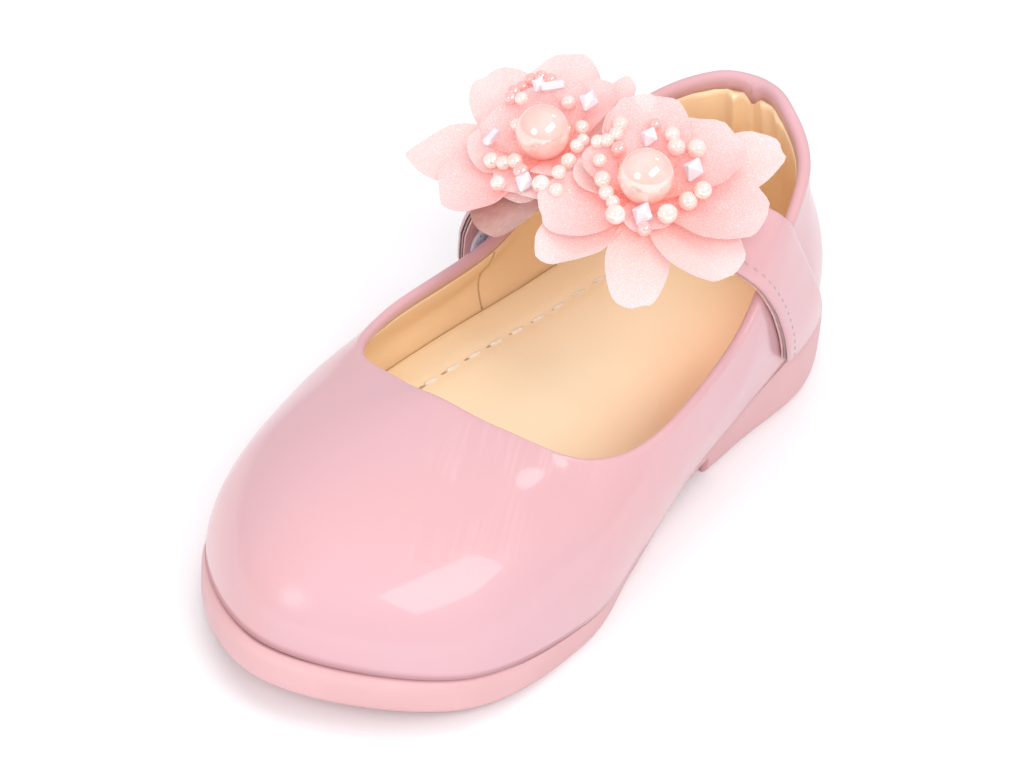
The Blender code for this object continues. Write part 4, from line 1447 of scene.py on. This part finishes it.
# Pearls and beads
# A big lacquered pearl sits in the middle of each flower, held by strings of small pearls and pink beads,
# with a few bicone crystals and bugle beads, all sewn through the petals with thread.
PEARL_DIAMETER = 8.2
PEARL_SEGMENTS = 48
PEARL_ROWS = 30
BEAD_SEGMENTS = 14
BEAD_ROWS = 9
CRYSTAL_SIDES = 8
BUGLE_SIDES = 6
DRILL_SHARE = 0.06
DRILL_INSIDE = 0.30
DRILL_MOUTH = 0.46
BEAD_REACH = 1.2
BEAD_SINK = 0.42
BUGLE_RADIUS = 0.75
BUGLE_MOUTH = 0.55
BUGLE_ROUND = 0.25
SHARP_FROM = 55.0
Bead = namedtuple("Bead", "kind bearing radius size")
LATERAL_BEADS = (
    Bead("bugle", 165.0, 8.7, 3.6),
    Bead("pearl", 142.0, 8.5, 2.5),
    Bead("pearl", 129.0, 6.9, 2.2),
    Bead("pearl", 120.0, 5.3, 2.4),
    Bead("pearl", 109.0, 9.4, 2.4),
    Bead("pink", 95.0, 6.1, 2.5),
    Bead("crystal", 79.0, 8.4, 3.2),
    Bead("pearl", 60.0, 9.5, 2.7),
    Bead("pearl", 48.0, 10.9, 2.2),
    Bead("pearl", 42.0, 9.1, 2.2),
    Bead("pearl", 23.0, 6.4, 2.4),
    Bead("pearl", 350.0, 5.2, 2.2),
    Bead("pearl", 311.0, 5.8, 2.2),
    Bead("pearl", 331.0, 5.6, 2.0),
    Bead("crystal", 284.0, 9.3, 3.4),
    Bead("pearl", 258.0, 9.3, 2.2),
    Bead("bugle", 245.0, 10.4, 3.6),
    Bead("pink", 207.0, 10.2, 2.0),
    Bead("pink", 215.0, 13.3, 2.0),
    Bead("pink", 222.0, 15.6, 2.0),
    Bead("pink", 228.0, 15.8, 2.0),
    Bead("pink", 234.0, 14.8, 2.0),
    Bead("pink", 240.0, 13.6, 2.0),
    Bead("pearl", 215.0, 9.1, 2.1),
    Bead("crystal", 233.0, 11.4, 2.6),
    Bead("pearl", 195.0, 6.6, 2.1),
)
MEDIAL_BEADS = (
    Bead("pearl", 204.0, 10.2, 2.1),
    Bead("pearl", 209.0, 9.2, 2.1),
    Bead("pearl", 220.0, 9.5, 2.2),
    Bead("pearl", 227.0, 10.9, 2.4),
    Bead("pink", 215.0, 7.3, 2.4),
    Bead("pearl", 188.0, 7.7, 2.1),
    Bead("pearl", 157.0, 6.2, 2.5),
    Bead("pearl", 146.0, 5.6, 2.4),
    Bead("pearl", 130.0, 5.0, 2.2),
    Bead("pearl", 102.0, 7.4, 3.0),
    Bead("crystal", 70.0, 5.2, 3.6),
    Bead("pink", 67.0, 7.6, 2.2),
    Bead("pearl", 37.0, 6.4, 3.0),
    Bead("pearl", 354.0, 6.6, 2.9),
    Bead("pearl", 345.0, 8.4, 2.7),
    Bead("crystal", 314.0, 7.7, 3.6),
    Bead("pearl", 293.0, 10.5, 2.9),
    Bead("pearl", 280.0, 8.3, 2.7),
    Bead("pearl", 270.0, 10.0, 2.4),
    Bead("crystal", 251.0, 8.5, 3.0),
    Bead("pink", 254.0, 11.3, 2.0),
)


def bead_height(spots, x, y, size):
    """Height over the strap at which a bead rests on the highest petal below it."""
    below = spots[np.hypot(spots[:, 0] - x, spots[:, 1] - y) < BEAD_REACH, 2]
    return max(below, default=LOWER_HEIGHT) + BEAD_SINK * size


def bead_lacquer(name, colour, deep_tone_and_glow):
    """Pearl coating: soft cloudy body under a clear bright lacquer, with a faint painted glow in its deep
    tone.
    """
    material, tree, shader = new_material(
        name, 0.25, coat_weight=1.0, coat_roughness=0.03, coat_ior=3.0, specular_ior_level=0.5,
        # The emission is painted glow in the deep tone, standing in for light through the pearls and beads
        subsurface_weight=0.3, subsurface_scale=0.0015, emission_color=(*deep_tone_and_glow, 1.0), emission_strength=0.14,
    )
    cloud = noise_node(tree, 240.0, detail=1.0)
    tree.links.new(ramp_node(tree, cloud, (0.35, deep_tone_and_glow), (0.65, colour)), shader.inputs["Base Color"])
    return material


def clear_crystal():
    """Cut glass with a pale rainbow coat."""
    material, tree, shader = new_material(
        "clear_crystal", 0.05, transmission_weight=0.12, ior=1.6, coat_weight=1.0, coat_roughness=0.02,
        thin_film_thickness=420.0,
    )
    tint = noise_node(tree, 500.0, detail=0.0)
    rainbow = ramp_node(tree, tint, (0.4, (1.0, 0.88, 0.93)), (0.6, (0.96, 0.94, 1.0)))
    tree.links.new(rainbow, shader.inputs["Base Color"])
    return material


def turned_bead(profile, sides, centre, axis):
    """Bead turned round an axis from its (height, radius) profile, closed by a flat at each end."""
    seat_way = axis.orthogonal().normalized()
    other = axis.cross(seat_way)
    points = []
    for height, radius in profile:
        for k in range(sides):
            turn = math.tau * k / sides
            way = seat_way * math.cos(turn) + other * math.sin(turn)
            points.append(centre + axis * height + way * radius)
    return points, capped_loft(len(profile), sides)


def round_profile(diameter, rows):
    """Profile of a drilled round bead: a ball whose ends sink into the drill hole."""
    hole = DRILL_SHARE * diameter
    profile = [(-DRILL_INSIDE * diameter, 0.6 * hole), (-DRILL_MOUTH * diameter, hole)]
    for k in range(rows + 1):
        turn = math.pi * (0.05 + 0.9 * k / rows)
        profile.append((-math.cos(turn) * diameter / 2, math.sin(turn) * diameter / 2))
    return profile + [(-height, radius) for height, radius in reversed(profile[:2])]


def bicone_profile(size):
    """Profile of a cut crystal: two cones with a narrow girdle."""
    half = size / 2
    end, girdle, girdle_half = 0.12 * half, 0.92 * half, 0.06 * half
    return [(-half, end), (-girdle_half, girdle), (girdle_half, girdle), (half, end)]


def bugle_profile(size):
    """Profile of a short glass tube with rounded ends."""
    half = size / 2
    body = half - BUGLE_ROUND
    return [(-half, BUGLE_MOUTH), (-body, BUGLE_RADIUS), (body, BUGLE_RADIUS), (half, BUGLE_MOUTH)]


def add_beads(name, beads, material, flat_faces=False):
    """Several turned beads as one piece."""
    points, faces = [], []
    for profile, sides, centre, axis in beads:
        bead_points, bead_faces = turned_bead(profile, sides, centre, axis)
        faces += [tuple(len(points) + i for i in face) for face in bead_faces]
        points += bead_points
    piece = add_mesh(name, points, faces, material)
    if flat_faces:
        piece.data.shade_flat()
    else:
        piece.data.set_sharp_from_angle(angle=math.radians(SHARP_FROM))
    return piece


peach_pearl = bead_lacquer("peach_pearl", (0.90, 0.60, 0.54), (0.90, 0.52, 0.44))
blush_bead = bead_lacquer("blush_bead", (0.92, 0.72, 0.67), (0.92, 0.63, 0.56))
pink_bead = bead_lacquer("pink_bead", (0.92, 0.50, 0.47), (0.90, 0.42, 0.38))
crystal = clear_crystal()
for place, table in (("lateral", LATERAL_BEADS), ("medial", MEDIAL_BEADS)):
    middle, across, toeward, normal = flower_axes(place)
    spots = np.array(petal_spots[place])
    pearl_centre = middle + normal * FLOWER_SEATS[place].pearl
    pearl_string = (across * 0.85 - toeward * 0.53).normalized()
    big = [(round_profile(PEARL_DIAMETER, PEARL_ROWS), PEARL_SEGMENTS, pearl_centre, pearl_string)]
    seat(add_beads(f"{place}_pearl_lacquered", big, peach_pearl), "pearls", f"flower_{place}_pearl")
    sorted_beads = {"pearl": [], "pink": [], "cut": []}
    for bead in table:
        turn = math.radians(bead.bearing)
        x, y = bead.radius * math.cos(turn), bead.radius * math.sin(turn)
        along = toeward * math.cos(turn) - across * math.sin(turn)
        centre = middle + across * x + toeward * y + normal * bead_height(spots, x, y, bead.size)
        if bead.kind == "crystal":
            tipped = (normal * 0.6 - toeward * 0.8).normalized()
            sorted_beads["cut"].append((bicone_profile(bead.size), CRYSTAL_SIDES, centre, tipped))
        elif bead.kind == "bugle":
            sorted_beads["cut"].append((bugle_profile(bead.size), BUGLE_SIDES, centre, along))
        else:
            round_bead = round_profile(bead.size, BEAD_ROWS)
            sorted_beads[bead.kind].append((round_bead, BEAD_SEGMENTS, centre, along))
    bead_string = add_beads(f"{place}_bead_string", sorted_beads["pearl"], blush_bead)
    seat(bead_string, "beads", f"flower_{place}_beads")
    seat(add_beads(f"{place}_pink_beads", sorted_beads["pink"], pink_bead), "beads")
    seat(add_beads(f"{place}_crystals", sorted_beads["cut"], crystal, flat_faces=True), "beads")

# Floor, light and camera
# A pale floor in a white surround, with a large soft light on the medial side, round lamps in front and
# behind, and fills that the patent doesn't mirror. The camera stands where the photograph was taken from.
FLOOR_SIZE = 6.0
CAMERA_PLACE = (0.16831, -0.27033, 0.2459)
CAMERA_AIM = (0.00112, -0.00582, 0.02)
CAMERA_ROLL = 5.25
CAMERA_LENS = 93.2
CAMERA_SENSOR = 36.0
WORLD_LIGHT = 0.52
LIT_HEIGHT = 0.02
Softbox = namedtuple("Softbox", "name azimuth elevation distance width height roll watts mirrored")
SOFTBOXES = (
    Softbox("side_softbox", 76.0, 46.5, 0.8, 0.64, 0.28, 19.0, 2.3, True),
    Softbox("front_lamp", -10.0, 25.0, 0.8, 0.24, 0.24, 0.0, 0.34, True),
    Softbox("front_glow", -10.0, 25.0, 0.81, 0.44, 0.40, 0.0, 0.42, True),
    Softbox("back_lamp", 167.0, 50.5, 0.8, 0.11, 0.11, 0.0, 0.16, True),
    Softbox("camera_fill", 32.0, 38.0, 1.1, 0.5, 0.5, 0.0, 4.0, False),
    Softbox("lateral_fill", -60.0, 18.0, 1.0, 0.5, 0.5, 0.0, 0.8, False),
    Softbox("top_fill", -130.0, 78.0, 0.9, 0.9, 0.9, 0.0, 3.2, False),
)

floor_mesh = bpy.data.meshes.new("floor")
reach = FLOOR_SIZE / 2
floor_corners = [(-reach, -reach, 0), (reach, -reach, 0), (reach, reach, 0), (-reach, reach, 0)]
floor_mesh.from_pydata(floor_corners, [], [(0, 1, 2, 3)])
floor = linked("floor", floor_mesh)
floor_material, floor_tree, floor_shader = new_material("pale_floor", 0.7, specular_ior_level=0.2)
floor_shader.inputs["Base Color"].default_value = (0.93, 0.925, 0.93, 1.0)
floor_mesh.materials.append(floor_material)

world = bpy.data.worlds.new("white_surround")
world.use_nodes = True
surround = world.node_tree.nodes["Background"]
surround.inputs["Color"].default_value = (0.96, 0.96, 1.0, 1.0)
surround.inputs["Strength"].default_value = WORLD_LIGHT
bpy.context.scene.world = world
shoe_middle = Vector((0.0, 0.0, LIT_HEIGHT))
for box in SOFTBOXES:
    light = bpy.data.lights.new(box.name, "AREA")
    light.shape = "RECTANGLE" if box.name == "side_softbox" else "ELLIPSE"
    light.size = box.width
    light.size_y = box.height
    light.energy = box.watts
    lamp = linked(box.name, light)
    azimuth, elevation = math.radians(box.azimuth), math.radians(box.elevation)
    level_way = Vector((math.sin(azimuth), -math.cos(azimuth), 0.0))
    way = level_way * math.cos(elevation) + Vector((0.0, 0.0, math.sin(elevation)))
    lamp.location = shoe_middle + way * box.distance
    turned = way.to_track_quat("Z", "Y").to_matrix() @ Matrix.Rotation(math.radians(box.roll), 3, "Z")
    lamp.rotation_euler = turned.to_euler()
    lamp.visible_glossy = box.mirrored

camera = bpy.data.cameras.new("photo_camera")
camera.sensor_width = CAMERA_SENSOR
camera.lens = CAMERA_LENS
camera.clip_start = 0.01
viewer = linked("photo_camera", camera)
viewer.location = CAMERA_PLACE
look = Vector(CAMERA_AIM) - Vector(CAMERA_PLACE)
turned = look.to_track_quat("-Z", "Y").to_matrix().to_4x4()
turned = turned @ Matrix.Rotation(math.radians(CAMERA_ROLL), 4, "Z")
viewer.rotation_euler = turned.to_euler()
bpy.context.scene.camera = viewer
bpy.context.scene.view_settings.view_transform = "Standard"
